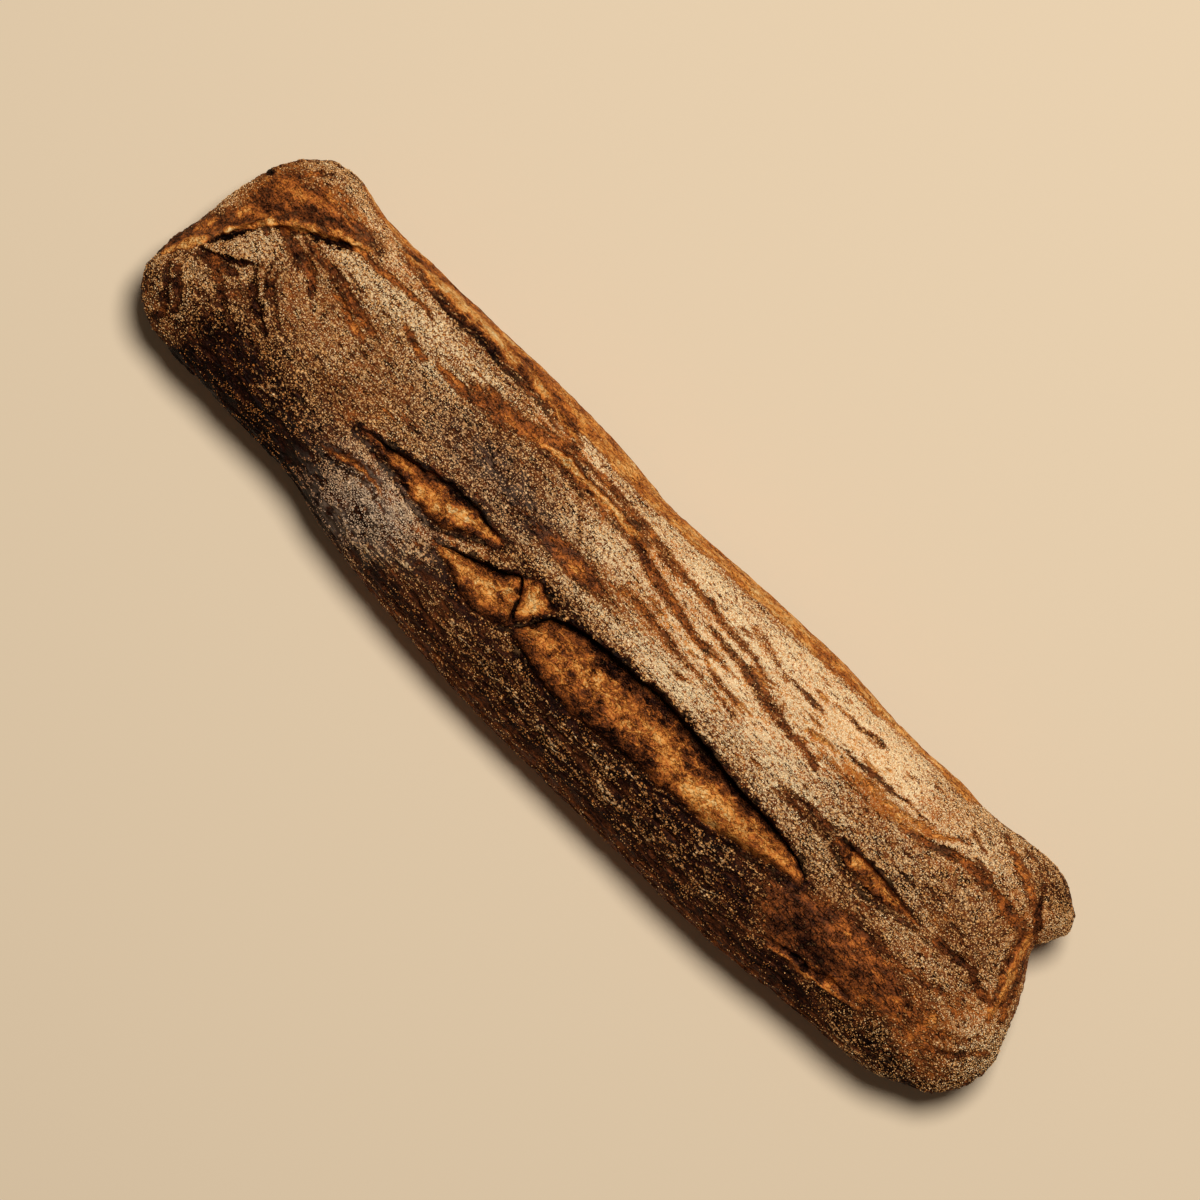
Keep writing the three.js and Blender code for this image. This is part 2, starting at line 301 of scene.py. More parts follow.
def split_frame(xy, split):
    """For each point: distance in from the far edge, distance in from the near edge, width."""
    rows = curve(split["stations"], np.linspace(0, 1, SPLIT_POINTS * len(split["stations"])))
    rows[:, 1] += NEAR_EDGE_WAVE * split["crease"] * layered_noise(rows * (1, 0, 0), (7, 7, 7), 12)
    x, y = xy[:, 0], xy[:, 1]
    near = np.interp(x, rows[:, 0], rows[:, 1])
    far = np.interp(x, rows[:, 0], rows[:, 2])
    ends = np.maximum(rows[0, 0] - x, x - rows[-1, 0]).clip(0)
    return far - y - ends, y - near - ends, far - near


# ---- marks: lines drawn on the crust ----
# Each is (groove depth, darkening, baring of flour, points), with points (x, y, half width).
# A negative depth is a ridge.
MARKS = (
    # left end: the corner's arcs, the flap beside the seam, and the arcs round it
    (1.8, 0.1, 0.8, ((-194, -18.6, 0.8), (-190.4, -23.6, 1.3), (-186.4, -28.4, 1.4), (-184, -33, 1.3),
     (-185.4, -37, 0.6))),
    (0.9, 0.1, 0.9, ((-191.2, -17.4, 0.7), (-186.8, -22.4, 1.2), (-182.6, -27, 1.2), (-181.6, -31.4, 0.6))),
    # the dark gaps under the seam's ridge: their darkening is char and painted shadow of the ridge
    (2.4, 0.34, 1.0, ((-190.2, -4.6, 0.5), (-187.2, 0.4, 1.1), (-184.8, 6, 1.2), (-182.4, 11, 1.1),
     (-180.4, 13.8, 0.4))),
    (2.0, 0.3, 1.0, ((-176.2, 15.6, 0.6), (-173, 18, 1.3), (-169.8, 20.6, 1.2), (-167.8, 22, 0.6))),
    (2.2, 0.3, 1.0, ((-167.4, 22.2, 0.5), (-163.6, 24.2, 1.3), (-158.8, 26.6, 1.5), (-154.6, 28.8, 1.0),
     (-151, 30.4, 0.5))),
    (-0.8, 0, 0, ((-186, -14, 1.2), (-181, -21, 1.8), (-177, -28, 1.6), (-176, -33, 1.2))),
    # the flap's crease: bare crust, whose darkening is painted shadow under the flap
    (2.0, 0.2, 0.9, ((-190.5, -7.2, 1), (-185, -6.4, 1), (-182, -5.2, 0.9), (-178, -2.8, 1),
     (-172.6, 0.4, 0.6))),
    (0.8, 0.0, 0.9, ((-190, -9.4, 1), (-184, -8.6, 2), (-178, -6.6, 1.6), (-174, -5, 0.6))),
    (-1.1, -0.06, 0, ((-170, 4, 0.8), (-166.6, -2, 1.2), (-161, -6, 1.2), (-155.6, -10.6, 0.8))),
    (1.8, 0.16, 0.8, ((-172, 2.4, 0.6), (-170.4, -1.4, 1.1), (-166.4, -5.6, 1.2), (-160, -9, 1),
     (-153, -13.6, 0.6))),
    (1.2, 0.1, 0.8, ((-181.5, -8.8, 0.8), (-175.5, -13, 1.4), (-169, -17.4, 1.2), (-163, -19, 0.6))),
    (1.5, 0.12, 0.7, ((-165, 6, 0.5), (-163.4, 1, 0.9), (-158.6, -3, 1), (-151, -8, 0.6))),
    (1.2, 0.1, 0.7, ((-169, 9, 0.4), (-168, 4, 0.7), (-164.6, -0.6, 0.8), (-158.6, -5, 0.6))),
    (1.0, 0.04, 0.6, ((-184.6, 33.6, 0.7), (-181.6, 38, 1), (-176.4, 42.2, 0.7))),
    (-0.7, -0.25, 0.8, ((-178, 36.6, 0.5), (-170, 36, 0.8), (-160, 36.6, 0.7), (-150, 36, 0.5))),
    (-0.6, -0.25, 0.7, ((-172, 40, 0.5), (-162, 39.6, 0.7), (-152, 38.6, 0.5))),
    # left end: the fan of folds that runs in from the seam
    (0.9, -0.08, 0.9, ((-176, 17.5, 1), (-169, 15.6, 2.2), (-161, 14, 2.6), (-155, 10.6, 1.6),
     (-150.5, 7.2, 0.7))),
    (0.8, -0.02, 0.8, ((-166, 20, 0.8), (-156, 19, 1.8), (-147, 17.8, 2), (-136, 15.6, 1.6),
     (-127, 13.6, 0.8))),
    (0.7, -0.1, 0.8, ((-146, 13.6, 0.6), (-139, 12.6, 1.2), (-132, 10.8, 1.4), (-127, 9.4, 0.7))),
    (-0.9, 0, 0, ((-164, 17.4, 0.7), (-154, 15.4, 1.2), (-145, 15.6, 1.2), (-134, 13, 0.9))),
    # far side: burnt stretches of the far split's edge, and streaks where the sheet has opened
    (0.5, 0.28, 1.0, ((-128, 38.8, 0.3), (-121, 38.4, 0.6), (-114, 38, 0.7), (-107, 37.8, 0.3))),
    (0.4, 0.26, 1.0, ((-102, 38, 0.3), (-96, 38.2, 0.6), (-90, 38.3, 0.5), (-84, 38.2, 0.3))),
    (0.7, -0.12, 0.9, ((-155, 31.5, 1), (-146, 30.2, 1.1), (-131, 31.8, 1), (-116, 32.6, 0.6))),
    (0.7, -0.04, 0.9, ((-122, 23, 0.6), (-115, 21, 1.4), (-108, 18.8, 0.8))),
    (0.7, -0.13, 0.9, ((-104, 22.4, 0.8), (-94, 22.2, 2.4), (-84, 24.4, 3.4), (-72, 27, 3.6), (-62, 30, 3),
     (-55, 32.6, 1.6))),
    (0.6, -0.1, 0.8, ((-60, 33.6, 0.5), (-48, 35, 1.0), (-30, 34.8, 1.2), (-12, 33.6, 1.4), (5, 31.2, 1.4),
     (23, 30.4, 1.2), (40, 29.2, 1.0), (52, 26.5, 0.6))),
    (0.7, -0.08, 0.9, ((-14, 28, 1), (-2, 24.4, 1.8), (12, 21.4, 1.7), (25, 19.2, 1.1), (33, 17.4, 0.5))),
    # pale flour: short streaks
    (0.5, -0.04, 0.8, ((-6, 14.2, 0.6), (3, 13.6, 1.4), (13, 12.2, 1.5), (24, 11.6, 0.9), (35, 11, 0.7))),
    (0.4, 0.02, 0.9, ((24, 7, 0.4), (29, 6.6, 0.9), (34, 6, 0.4))),
    (0.4, -0.04, 0.8, ((24, 25.6, 0.6), (32, 25, 1.2), (41, 23.8, 1.1), (50, 21.6, 0.6))),
    (0.4, -0.06, 0.8, ((27, 20.8, 0.5), (35, 20.6, 1), (44, 19.4, 0.6))),
    (0.4, -0.06, 0.8, ((30, 16.6, 0.5), (38, 14.4, 1), (48, 12.8, 0.8), (56, 11.4, 0.4))),
    (0.4, -0.04, 0.6, ((36, 36, 0.8), (46, 34, 2), (56, 31.4, 1.2))),
    (0.5, 0.02, 0.8, ((42, 24.6, 0.7), (52, 22.8, 1.8), (61, 21.8, 2.8), (68, 20, 1))),
    (0.4, 0.0, 0.9, ((57, 32.6, 0.5), (65, 32.6, 0.9), (73, 33, 0.5))),
    (0.4, 0.03, 0.8, ((73, 37.4, 0.5), (84, 38, 1), (96, 39.2, 0.6))),
    (0.5, 0.0, 0.9, ((64, 19.6, 0.5), (74, 19, 1.4), (84, 18, 0.8))),
    (0.4, 0.02, 0.8, ((38, 10.8, 0.6), (49, 10.2, 0.7), (57, 9, 0.3))),
    # right end: the fissure and its branches, and the streaks round the slash
    (0.8, -0.34, 0.75, ((74, 25.2, 0.6), (84, 26.4, 1.6), (96, 26.6, 1.9), (108, 26.2, 1.6), (120, 28, 1.3),
     (131, 31.6, 1), (140, 36.4, 0.5))),
    (0.7, 0.02, 1.0, ((84, 28.4, 0.5), (98, 29.4, 1), (112, 30.8, 0.9), (127, 32.6, 0.5))),
    (-0.8, -0.3, 0.6, ((80, 23.2, 0.5), (96, 22.6, 0.9), (108, 22.8, 0.8), (119, 25.4, 0.8),
     (133, 28.8, 0.5))),
    (0.8, 0.0, 0.9, ((134, 29.2, 0.8), (146, 31.2, 1.8), (158, 31, 2), (170, 29.6, 2.4), (178, 27, 2.4))),
    (0.5, 0.0, 0.9, ((78, 4.6, 0.4), (88, 5.4, 1), (97, 7, 1.2), (105, 8.2, 0.6))),
    (0.4, -0.04, 0.8, ((82, 3.6, 0.5), (92, 3.6, 1.2), (103, 4.2, 1.4))),
    (0.9, 0.0, 1.0, ((155, 4.8, 0.9), (163, 6.2, 1.2), (171, 7.2, 1.1), (176, 4.6, 1.3), (184, 3.6, 1))),
    (-0.5, -0.12, 0.9, ((147, 47.6, 0.6), (156, 44.6, 1.3), (165, 41, 1.6), (173.6, 36.6, 1.6),
     (178.4, 31.2, 1.8))),
    (1.2, 0.06, 0.8, ((168, 47, 0.5), (170.4, 41, 0.9), (175, 36, 1), (180.4, 31, 1), (184, 28, 0.8))),
    # right end: the bare orange seam above the second lobe, and the dark line beside it
    (-0.9, -0.26, 1.0, ((178.6, 29, 1.2), (180, 22.4, 1.6), (182.6, 16, 1.4), (185.2, 9, 1.4),
     (186.8, 3, 1.8), (187.6, -0.6, 1))),
    (0.9, 0.06, 0.8, ((176.4, 28, 0.5), (177.6, 21.6, 0.8), (180.2, 15, 0.8), (183, 8.4, 0.8),
     (184.6, 3, 0.6))),
    (0.5, -0.04, 0.8, ((181.8, 24.6, 0.6), (185.4, 16, 1.3), (189, 8, 1.6), (191.6, 2, 1.2))),
    # the ragged edge of the floured skin above the bare blister
    (0.9, 0.0, 0.8, ((119, -15, 0.5), (126, -11, 0.8), (138, -9.6, 0.8), (150, -9.4, 0.8), (158, -8.4, 0.9),
     (166, -7, 1), (173, -4.4, 0.6))),
    (0.8, -0.08, 0.7, ((197, -9, 0.5), (191.6, -14, 1.1), (186, -19, 1.3), (180, -23, 0.7))),
    (0.7, -0.08, 0.7, ((190.6, -7.6, 0.5), (185.4, -12.6, 1.1), (178, -17.4, 1.1), (171, -20, 0.6))),
    (0.5, -0.06, 0.8, ((136, 42, 0.4), (143, 39.4, 0.7), (150, 37.6, 0.4))),
    # near wall: long folds, and the cracked edge of the blister
    (1.1, 0.04, 0.9, ((104, -38.4, 0.5), (114, -35.8, 0.8), (123, -33.4, 1), (132, -32.8, 1.1),
     (142, -30.4, 0.9), (152, -28.8, 0.5))),
    (-1.0, -0.32, 0.9, ((116, -37, 0.4), (124, -35.2, 0.7), (133, -34.8, 0.7), (144, -32.2, 0.7),
     (154, -29.8, 0.4))),
    (0.8, 0.04, 0.5, ((-66, -38, 1), (-40, -41, 1.6), (-14, -43, 1.4), (10, -42.6, 0.8))),
    (0.9, 0.04, 0.5, ((-10, -36, 0.8), (14, -37.2, 1.4), (40, -36.6, 1.4), (70, -33, 0.8))),
    (0.8, 0.03, 0.4, ((30, -44, 0.8), (56, -43, 1.5), (82, -42.6, 1.3), (100, -43.4, 0.7))),
)


def beside(xy, points, reach=MARK_REACH):
    """Signed distance of each point to the left of a line, and the line's half width there."""
    line = curve(points, np.linspace(0, 1, MARK_PARTS * (len(points) - 1) + 1))
    side = np.full(len(xy), FAR_AWAY)
    width = np.ones(len(xy))
    low, high = line[:, :2].min(0) - reach, line[:, :2].max(0) + reach
    close = np.flatnonzero(((xy > low) & (xy < high)).all(1))
    if not len(close):
        return side, width
    p = xy[close, None]
    a, b = line[:-1], line[1:]
    d = b[:, :2] - a[:, :2]
    t = (((p - a[:, :2]) * d).sum(-1) / (d * d).sum(-1)).clip(0, 1)
    off = p - a[:, :2] - t[..., None] * d
    gap = np.hypot(off[..., 0], off[..., 1])
    best = gap.argmin(1)
    rows = np.arange(len(close))
    turn = np.where(d[best, 0] * off[rows, best, 1] < d[best, 1] * off[rows, best, 0], -1, 1)
    side[close] = gap[rows, best] * turn
    width[close] = a[best, 2] + t[rows, best] * (b[best, 2] - a[best, 2])
    return side, width


# The seam where two folds of the sheet meet at the left end: a torn ridge, steep on its right.
SEAM_DROP = 2.0
SEAM_OUTER = 5.5  # how far the bare, wrinkled skin reaches on its left
SEAM = (
    (-199, -17, 1.2), (-196.4, -12.6, 1.9), (-192.8, -6, 1.8), (-190.4, -1.2, 1.2), (-188, 3.4, 1.1),
    (-185.6, 7, 1.1), (-183.2, 10.4, 1.2), (-180.6, 13.8, 1.4), (-178, 16.6, 1.8), (-174.4, 19.8, 1.8),
    (-168.2, 24.2, 2.0), (-161.2, 28.2, 2.0), (-155, 31, 1.6), (-149, 32.8, 0.8),
)
# A bulge or hollow is (x, y, radius along X, radius along Y, height).
BULGES = (
    (137, -20, 26, 11, 1.8), (-191, -30, 8, 9, 2.2), (178, 42, 9, 10, 1.8), (-47, -11, 18, 3, 1.6),
    (-23.6, -13, 4, 7, 0.7), (-150, 20, 30, 6, 0.8), (60, 12, 60, 8, 0.8), (-60, 12, 40, 10, 0.7),
    (160, 15, 22, 10, 0.9), (30, 37, 60, 7, 0.6), (-120, 0, 26, 8, 0.5), (-30, 7, 12, 3, -0.5),
)
# A pit is (x, y, radius, depth, how pale its skin is); a negative paleness darkens its hole with the char
# colour as painted shade.
PITS = (
    (-30.7, -16.4, 2.6, 1.6, 0.5), (-36.5, -24, 1.5, 1.0, 0.3), (-44, -21, 1.3, 0.7, 0.1),
    (-77.9, -13.1, 2.8, 1.4, 0.7), (-70, -12.4, 2.2, 1.2, 0.7), (-65.8, -9.2, 1.9, 1.1, 0.6),
    (-58.8, -7.4, 1.7, 0.9, 0.6), (-67, -15, 1.0, 0.8, 0.2), (-86, -12, 1.2, 0.8, 0.3),
    (6.4, -10.4, 1.8, 1.8, -0.2), (10.2, -14.6, 2.0, 1.2, 0.5), (15.8, -11.8, 1.1, 0.8, 0.2),
    (-3, -14.6, 1.4, 0.9, 0.3), (28, -17.6, 2.4, 1.3, 0.5), (36.4, -15.6, 1.5, 1.2, 0.0),
    (45, -15, 1.8, 1.3, 0.1), (43, -11.2, 1.1, 1.4, -0.3), (57, -12.8, 1.7, 1.6, -0.2),
    (65, -10.6, 1.4, 0.9, 0.4), (73, -10.4, 1.3, 0.9, 0.2), (50, -19.6, 1.3, 0.7, 0.2),
    (84, -10.4, 1.3, 0.8, 0.3), (-49.6, 30.2, 2.4, -0.9, 0.7), (-12, -19, 1.5, 0.8, 0.2),
    (125.6, -33.2, 1.6, 2.0, -0.9), (130.6, -33.4, 1.3, 1.8, -0.9), (121.6, -33.6, 1.1, 1.2, -0.8),
    (135, -32, 1.1, 1.2, -0.8), (140, -30.6, 2.3, 1.8, 0.8), (132.5, -14.4, 1.4, -0.9, 0.5),
    (-192.1, 27.4, 1.7, 2.2, -0.9), (-190.3, 25.6, 1.2, -1.0, 0.5), (-183.4, 17.8, 1.5, 1.3, -0.5),
    (-179.4, 16, 1.6, -0.7, 0.6), (186.6, 2.2, 1.3, -0.6, 0.6), (180, 24.6, 1.4, -0.4, 0.5),
)


# The crust's grain runs along the loaf, and bends in these places. Each bend is (how far it
# moves the grain across, x and length of its turn, y and half width of the band that it moves).
GRAIN_BENDS = ((7, 5, 70, 18, 20), (7, -158, 18, 14, 14), (-3, 128, 18, 33, 12), (6, 172, 14, -10, 16))


def across_grain(xy):
    """A coordinate across the crust's grain: its stretch marks follow lines of equal value."""
    x, y = xy[:, 0], xy[:, 1]
    total = y
    for amount, turn_x, length, band_y, half_width in GRAIN_BENDS:
        total = total + amount * np.tanh((x - turn_x) / length) * bell((y - band_y) / half_width)
    return total


def along_grain(points):
    """The points, with the coordinate across the grain in place of Y."""
    return np.column_stack([points[:, 0], across_grain(points[:, :2]), points[:, 2]])


def wobble(xy, amount, size, seed):
    """The same points moved a little, so that what is drawn at them has ragged edges."""
    flat = np.column_stack([xy, np.zeros(len(xy))])
    return xy + amount * np.column_stack(
        [noise(flat, (size, size, size), seed), noise(flat, (size, size, size), seed + 5)]
    )


def rough_edges(xy):
    return wobble(wobble(xy, 0.9, 8, 3), 0.8, 2.4, 11)


FAR_WALL = 1.6  # how far a split's steep far wall reaches in from the far edge
DEEP_WIDTH = 7.0  # a split has its full depth where it is at least this wide
DEEP_SHARE = 0.55  # and at least this share of its greatest width
UNDERCUT = 1.3  # how far the far wall is hollowed out under its lip
OVERHANG = 1.1  # how far the lip leans out over it


def split_relief(xy, split):
    """Height change from one split: its lip, its far wall, the rise of its crumb, its crease."""
    from_far, from_near, width = split_frame(xy, split)
    opening = smooth(width / max(DEEP_WIDTH, DEEP_SHARE * width.max()))
    lip = split["lip"] * bell(from_far / mix(1.0, 4.0, from_far < 0))
    wall = ramp(from_far, -0.2, FAR_WALL)
    across = ((from_far - FAR_WALL) / np.maximum(width - FAR_WALL, 0.5)).clip(0, 1)
    crumb = -split["depth"] * (1 - np.sin(np.minimum(1, across / 0.8) * math.pi / 2))
    crumb += split["bulge"] * np.sin(across * math.pi)
    inside = wall * ramp(from_near, -0.2, 0.4)
    crease = -split["crease"] * bell(from_near / mix(1.2, 1.7, from_near > 0))
    return opening * (lip * (1 - wall) + inside * crumb + crease * (from_far > 0))


def seam_relief(xy):
    side, width = beside(xy, SEAM)
    ridge = np.minimum(ramp(-side, -3 * width, 0), ramp(-side, width + 0.5, width - 0.4))
    return SEAM_DROP * smooth(width / 1.4) * ridge


GROOVE_GAIN = 1.4  # how many times deeper a groove is cut than its table says


def mark_relief(xy, mark):
    depth, _, _, points = mark
    side, width = beside(xy, points)
    # The groove's left side is the steeper one.
    shape = bell(side / width / mix(1.15, 0.75, side > 0))
    return -GROOVE_GAIN * depth * smooth(width / 1.2) * shape


def relief(xy):
    """Height change of the top from all features, apart from the fine unevenness."""
    x, y = xy[:, 0], xy[:, 1]
    total = SWELL * sum(np.sin(x / a + y / b + phase) for a, b, phase in SWELL_WAVES) / 2
    ragged = rough_edges(xy)
    for split in SPLITS:
        total += split_relief(ragged, split)
    total += seam_relief(ragged)
    for mark in MARKS:
        total += mark_relief(ragged, mark)
    for bx, by, rx, ry, height in BULGES:
        total += height * bell(np.hypot((x - bx) / rx, (y - by) / ry))
    for px, py, radius, depth, _ in PITS:
        gap = np.hypot(x - px, y - py) / radius
        total += depth * (0.3 * bell((gap - 1.15) / 0.3) - bell(gap / 0.8) ** 2)
    return total


def lip_lean(xy):
    """How far the lips lean out over their splits: a shift along Y."""
    total = np.zeros(len(xy))
    for split in SPLITS:
        from_far, _, width = split_frame(xy, split)
        opening = smooth(width / 8) * min(1, split["depth"] / 6)
        under_lip = UNDERCUT * bell((from_far - 2.2) / 1.3)
        total += opening * (under_lip - OVERHANG * bell(from_far / 1.6))
    return total


# ---- the loaf's surface ----


def widest(x):
    """Height of the loaf's widest line."""
    return WIDEST_Z + END_RISE * np.abs(x / HALF_LENGTH) ** END_RISE_POWER


def top_height(xy, distance, bumps):
    x, y = xy[:, 0], xy[:, 1]
    crown = CROWN_HEIGHT - END_DROP * np.abs(x / HALF_LENGTH) ** END_DROP_POWER
    crown -= SIDE_DROP * (y / HALF_WIDTH) ** 2
    reach = SHOULDER - SHOULDER_LEAN * y / HALF_WIDTH
    rise = quarter_circle(distance / reach)
    return widest(x) + (crown - widest(x)) * rise + bumps * smooth(rise)


def even_steps(points, parameters, count):
    """The parameters that step evenly by length along each row of points."""
    lengths = np.linalg.norm(np.diff(points, axis=1), axis=2).cumsum(1)
    lengths = np.column_stack([np.zeros(len(lengths)), lengths])
    wanted = np.linspace(0, 1, count + 1)
    return np.array([np.interp(wanted * row[-1], row, parameters) for row in lengths])


def surface(u, v):
    """Points of the loaf's top for a grid of u and v whose outer values lie on the outline."""
    xy = plan(u, v)
    flat = xy.reshape(-1, 2)
    distance = inset(flat).reshape(u.shape)
    distance[0] = distance[-1] = 0
    distance[:, 0] = distance[:, -1] = 0
    z = top_height(flat, distance.ravel(), relief(flat))
    return np.dstack([xy, z.reshape(u.shape)])


def guide_surface(u, v):
    """Points of a coarse grid over the top, for placing the mesh's steps."""
    return surface(*np.meshgrid(u, v, indexing="ij"))


def crowded_to_ends(count):
    return (1 - np.cos(np.linspace(0, math.pi, count + 1))) / 2


def top_grid():
    """u and v of the top's vertices, in rows across the loaf."""
    fine = crowded_to_ends(GUIDE_SAMPLES)
    middle = guide_surface(fine, np.array([0, 0.5, 1]))[:, 1][None]
    u = even_steps(middle, fine, STATIONS)[0]
    guides = even_steps(middle, fine, GUIDE_STATIONS)[0]
    guide_v = even_steps(guide_surface(guides, fine), fine, TOP_STEPS)
    v = np.array([np.interp(u, guides, column) for column in guide_v.T]).T
    return np.repeat(u[:, None], TOP_STEPS + 1, 1), v


def around(grid):
    """The outer values of a grid, in turn round it."""
    return np.concatenate([grid[:, 0], grid[-1, 1:], grid[-2::-1, -1], grid[0, -2:0:-1]])


def heel_ring(rim_u, rim_v, distance):
    """Points of a ring under the loaf, about a distance in from its outline."""
    margin_u, margin_v = distance / (2 * HALF_LENGTH), distance / (2 * HALF_WIDTH)
    ring = plan(mix(margin_u, 1 - margin_u, rim_u), mix(margin_v, 1 - margin_v, rim_v))
    foot = widest(ring[:, 0])
    z = foot * (1 - quarter_circle(inset(ring) / (HEEL * foot)))
    return np.column_stack([ring, z])


def loaf_mesh():
    """The closed mesh before its fine relief: points (mm), faces, and how many points are the top's."""
    u, v = top_grid()
    parts = [surface(u, v).reshape(-1, 3)]
    ids = np.arange(u.size).reshape(u.shape)
    blocks = [np.stack([ids[:-1, :-1], ids[1:, :-1], ids[1:, 1:], ids[:-1, 1:]], -1).reshape(-1, 4)]
    rim_u, rim_v, last_ids = around(u), around(v), around(ids)
    count = u.size
    for distance in HEEL_RINGS:
        parts.append(heel_ring(rim_u, rim_v, distance))
        ring_ids = count + np.arange(len(rim_u))
        count += len(rim_u)
        blocks.append(
            np.stack([ring_ids, np.roll(ring_ids, -1), np.roll(last_ids, -1), last_ids], -1)
        )
        last_ids = ring_ids
    faces = [tuple(face) for face in np.concatenate(blocks).tolist()]
    faces.append(tuple(last_ids[::-1].tolist()))
    return np.concatenate(parts), faces, u.size


def make_mesh(name, points, faces):
    mesh = bpy.data.meshes.new(name)
    mesh.from_pydata((points * MM).tolist(), [], faces)
    mesh.update()
    piece = bpy.data.objects.new(name, mesh)
    bpy.context.scene.collection.objects.link(piece)
    mesh.shade_smooth()
    return piece


def add_attribute(piece, name, values):
    """Keeps a value for each vertex, which the material reads by its name."""
    attribute = piece.data.attributes.new(name, "FLOAT", "POINT")
    attribute.data.foreach_set("value", values.astype(np.float32))


def vertex_normals(mesh):
    normals = np.zeros(len(mesh.vertices) * 3, np.float32)
    mesh.vertex_normals.foreach_get("vector", normals)
    return normals.reshape(-1, 3).astype(float)


# ---- the crust's state ----
# A zone is (x, y, radius along X, radius along Y, how much more at its middle).
FLOUR_ZONES = (
    (88, 37, 42, 11, 0.85), (45, 20, 34, 12, 0.68), (26, 4, 18, 4, 0.5), (10, 36, 60, 7, 0.5),
    (-20, 22, 24, 8, 0.25), (82, 8, 30, 6, 0.35), (-108, 30, 26, 5, 0.4), (-140, 24, 36, 5, 0.26),
    (-100, 20, 16, 4, 0.25), (-25, 13, 16, 3, 0.1), (-15, 2, 24, 2.5, 0.3), (130, 24, 14, 6, 0.1),
    (-64, 12, 30, 9, -0.12), (-46, 7, 10, 4, -0.1), (-158, -27, 26, 9, -0.4), (150, 40, 14, 9, 0.17),
    (-42, -10, 20, 3, -0.06), (-58, -14, 13, 4.5, 0.14), (-150, -12, 40, 7, -0.08), (176, 46, 10, 6, -0.2),
    (165, 20, 20, 10, -0.06), (-145, 38, 26, 4, 0.25), (-118, -28, 24, 9, -0.2), (118, -34, 22, 9, -0.32),
    (137, -20, 27, 9, -0.9), (178, -18, 12, 12, -0.12), (-177, 29, 15, 7, -0.45), (-166, 36, 12, 4, -0.25),
    (158, 14, 24, 8, -0.07), (57, 20, 10, 3, -0.44), (46, -1, 8, 5, -0.14), (30, 36, 12, 4, -0.14),
    (20, 26, 7, 3, -0.14), (-24, 7, 13, 3.6, -1.2), (-86, -24, 20, 7, 0.3), (192, -8, 8, 14, 0.15),
    (-120, -8, 22, 6, -0.06), (148, 0, 14, 8, 0.12), (-176, 2, 8, 12, 0.12), (-56, 36, 14, 3, 0.2),
    (60, 0, 40, 5, 0.15), (-20, 44, 40, 3, 0.2), (-178, 10, 10, 8, 0.06), (-25, -5, 16, 2.4, -0.25),
    (122, 38, 9, 6, -0.24), (170, 34, 12, 10, -0.06), (185, -28, 8, 8, -0.14), (-182, -32, 14, 11, 0.18),
    (-186, 19, 6, 9, -0.5), (108, -22, 10, 4, -0.25), (-24, 37, 10, 4, -0.18), (186, -14, 8, 7, 0.14),
    (172, -30, 12, 6, 0.08), (-130, 5, 45, 25, -0.05), (165, 15, 25, 20, -0.05),
)
BAKE_ZONES = (
    (-64, 12, 32, 10, 0.1), (-46, 7, 10, 4, 0.08), (-158, -27, 28, 11, 0.26), (134, -25, 9, 4, 0.06),
    (144, -18, 27, 10, -0.08), (112, -14, 8, 4, -0.14), (-170, 23, 10, 8, -0.18), (126, -32, 9, 4, -0.2),
    (-30, 30, 36, 4, -0.08), (152, -23, 12, 5, -0.18), (128, -12, 22, 4, -0.08), (88, 34, 44, 12, -0.32),
    (42, 18, 44, 12, -0.3), (0, 30, 60, 12, -0.14), (176, -19, 15, 14, -0.2), (-24, 7, 16, 4.4, -0.26),
    (-58, -14, 13, 4.5, -0.18), (-150, -12, 40, 8, 0.03), (176, 46, 10, 6, 0.06), (-150, 38, 26, 5, -0.24),
    (60, 21, 10, 3, 0.18), (45, -1, 9, 5, 0.08), (-192, 18, 7, 20, -0.2), (174, 33, 12, 10, -0.18),
    (-140, 5, 30, 12, -0.06), (-108, 30, 26, 5, -0.1), (186, 6, 8, 16, -0.26), (114, -32, 20, 9, 0.02),
    (172, -36, 26, 8, 0.08), (-118, -30, 20, 9, 0.1), (150, -22, 20, 8, 0.03), (145, 2, 20, 6, -0.06),
    (-55, 36, 14, 4, -0.32), (20, 12, 40, 6, -0.1), (-130, 5, 45, 25, -0.06), (165, 15, 25, 20, -0.06),
    (-184, -30, 15, 13, -0.2), (-176, 29, 14, 8, -0.26), (-25, -5, 16, 2.6, 0.14),
    (-110, -12, 12, 4, -0.08), (185, -28, 8, 8, -0.08),
)
# The entries just under a far edge, at (68, -10) and (-78, -8), darken the crumb as painted shadow of the
# lip.
CRUMB_ZONES = (
    (78, -15, 22, 4, -0.14), (64, -20, 22, 4, -0.12), (68, -10, 12, 3, 0.3), (92, -15, 16, 4, -0.08),
    (37, -18, 9, 8, -0.14), (10, -22, 14, 8, -0.04), (-52, -24, 10, 4, -0.16), (-33, -17, 10, 7, -0.12),
    (-64, -15, 9, 4, -0.26), (-78, -8, 6, 3, 0.16), (-22, -24, 12, 3, -0.14), (-23, -11, 5, 6, -0.26),
    (-84, -9, 20, 4, 0.02), (-90, 42, 60, 4, -0.2), (-34, 30, 30, 4, -0.34), (-62, 38, 12, 4, -0.14),
    (-135, 42, 14, 4, -0.1), (-90, -22.5, 8, 2, -0.35), (125, 3, 30, 3, -0.12), (118, 4, 5, 3, 0.08),
    (74, -21, 22, 5, -0.32), (25, -9, 12, 4, 0.16), (98, -10, 8, 3, 0.14), (4, -24, 12, 6, -0.14),
    (-62, -8, 12, 4, -0.14), (-48, -22, 16, 4, -0.06),
)
ASH_ZONES = ((-62, 9, 28, 9, 0.36), (-86, -24, 22, 8, 1.0), (-90, -37, 17, 8, 0.85), (-76, -31, 7, 6, 0.3))
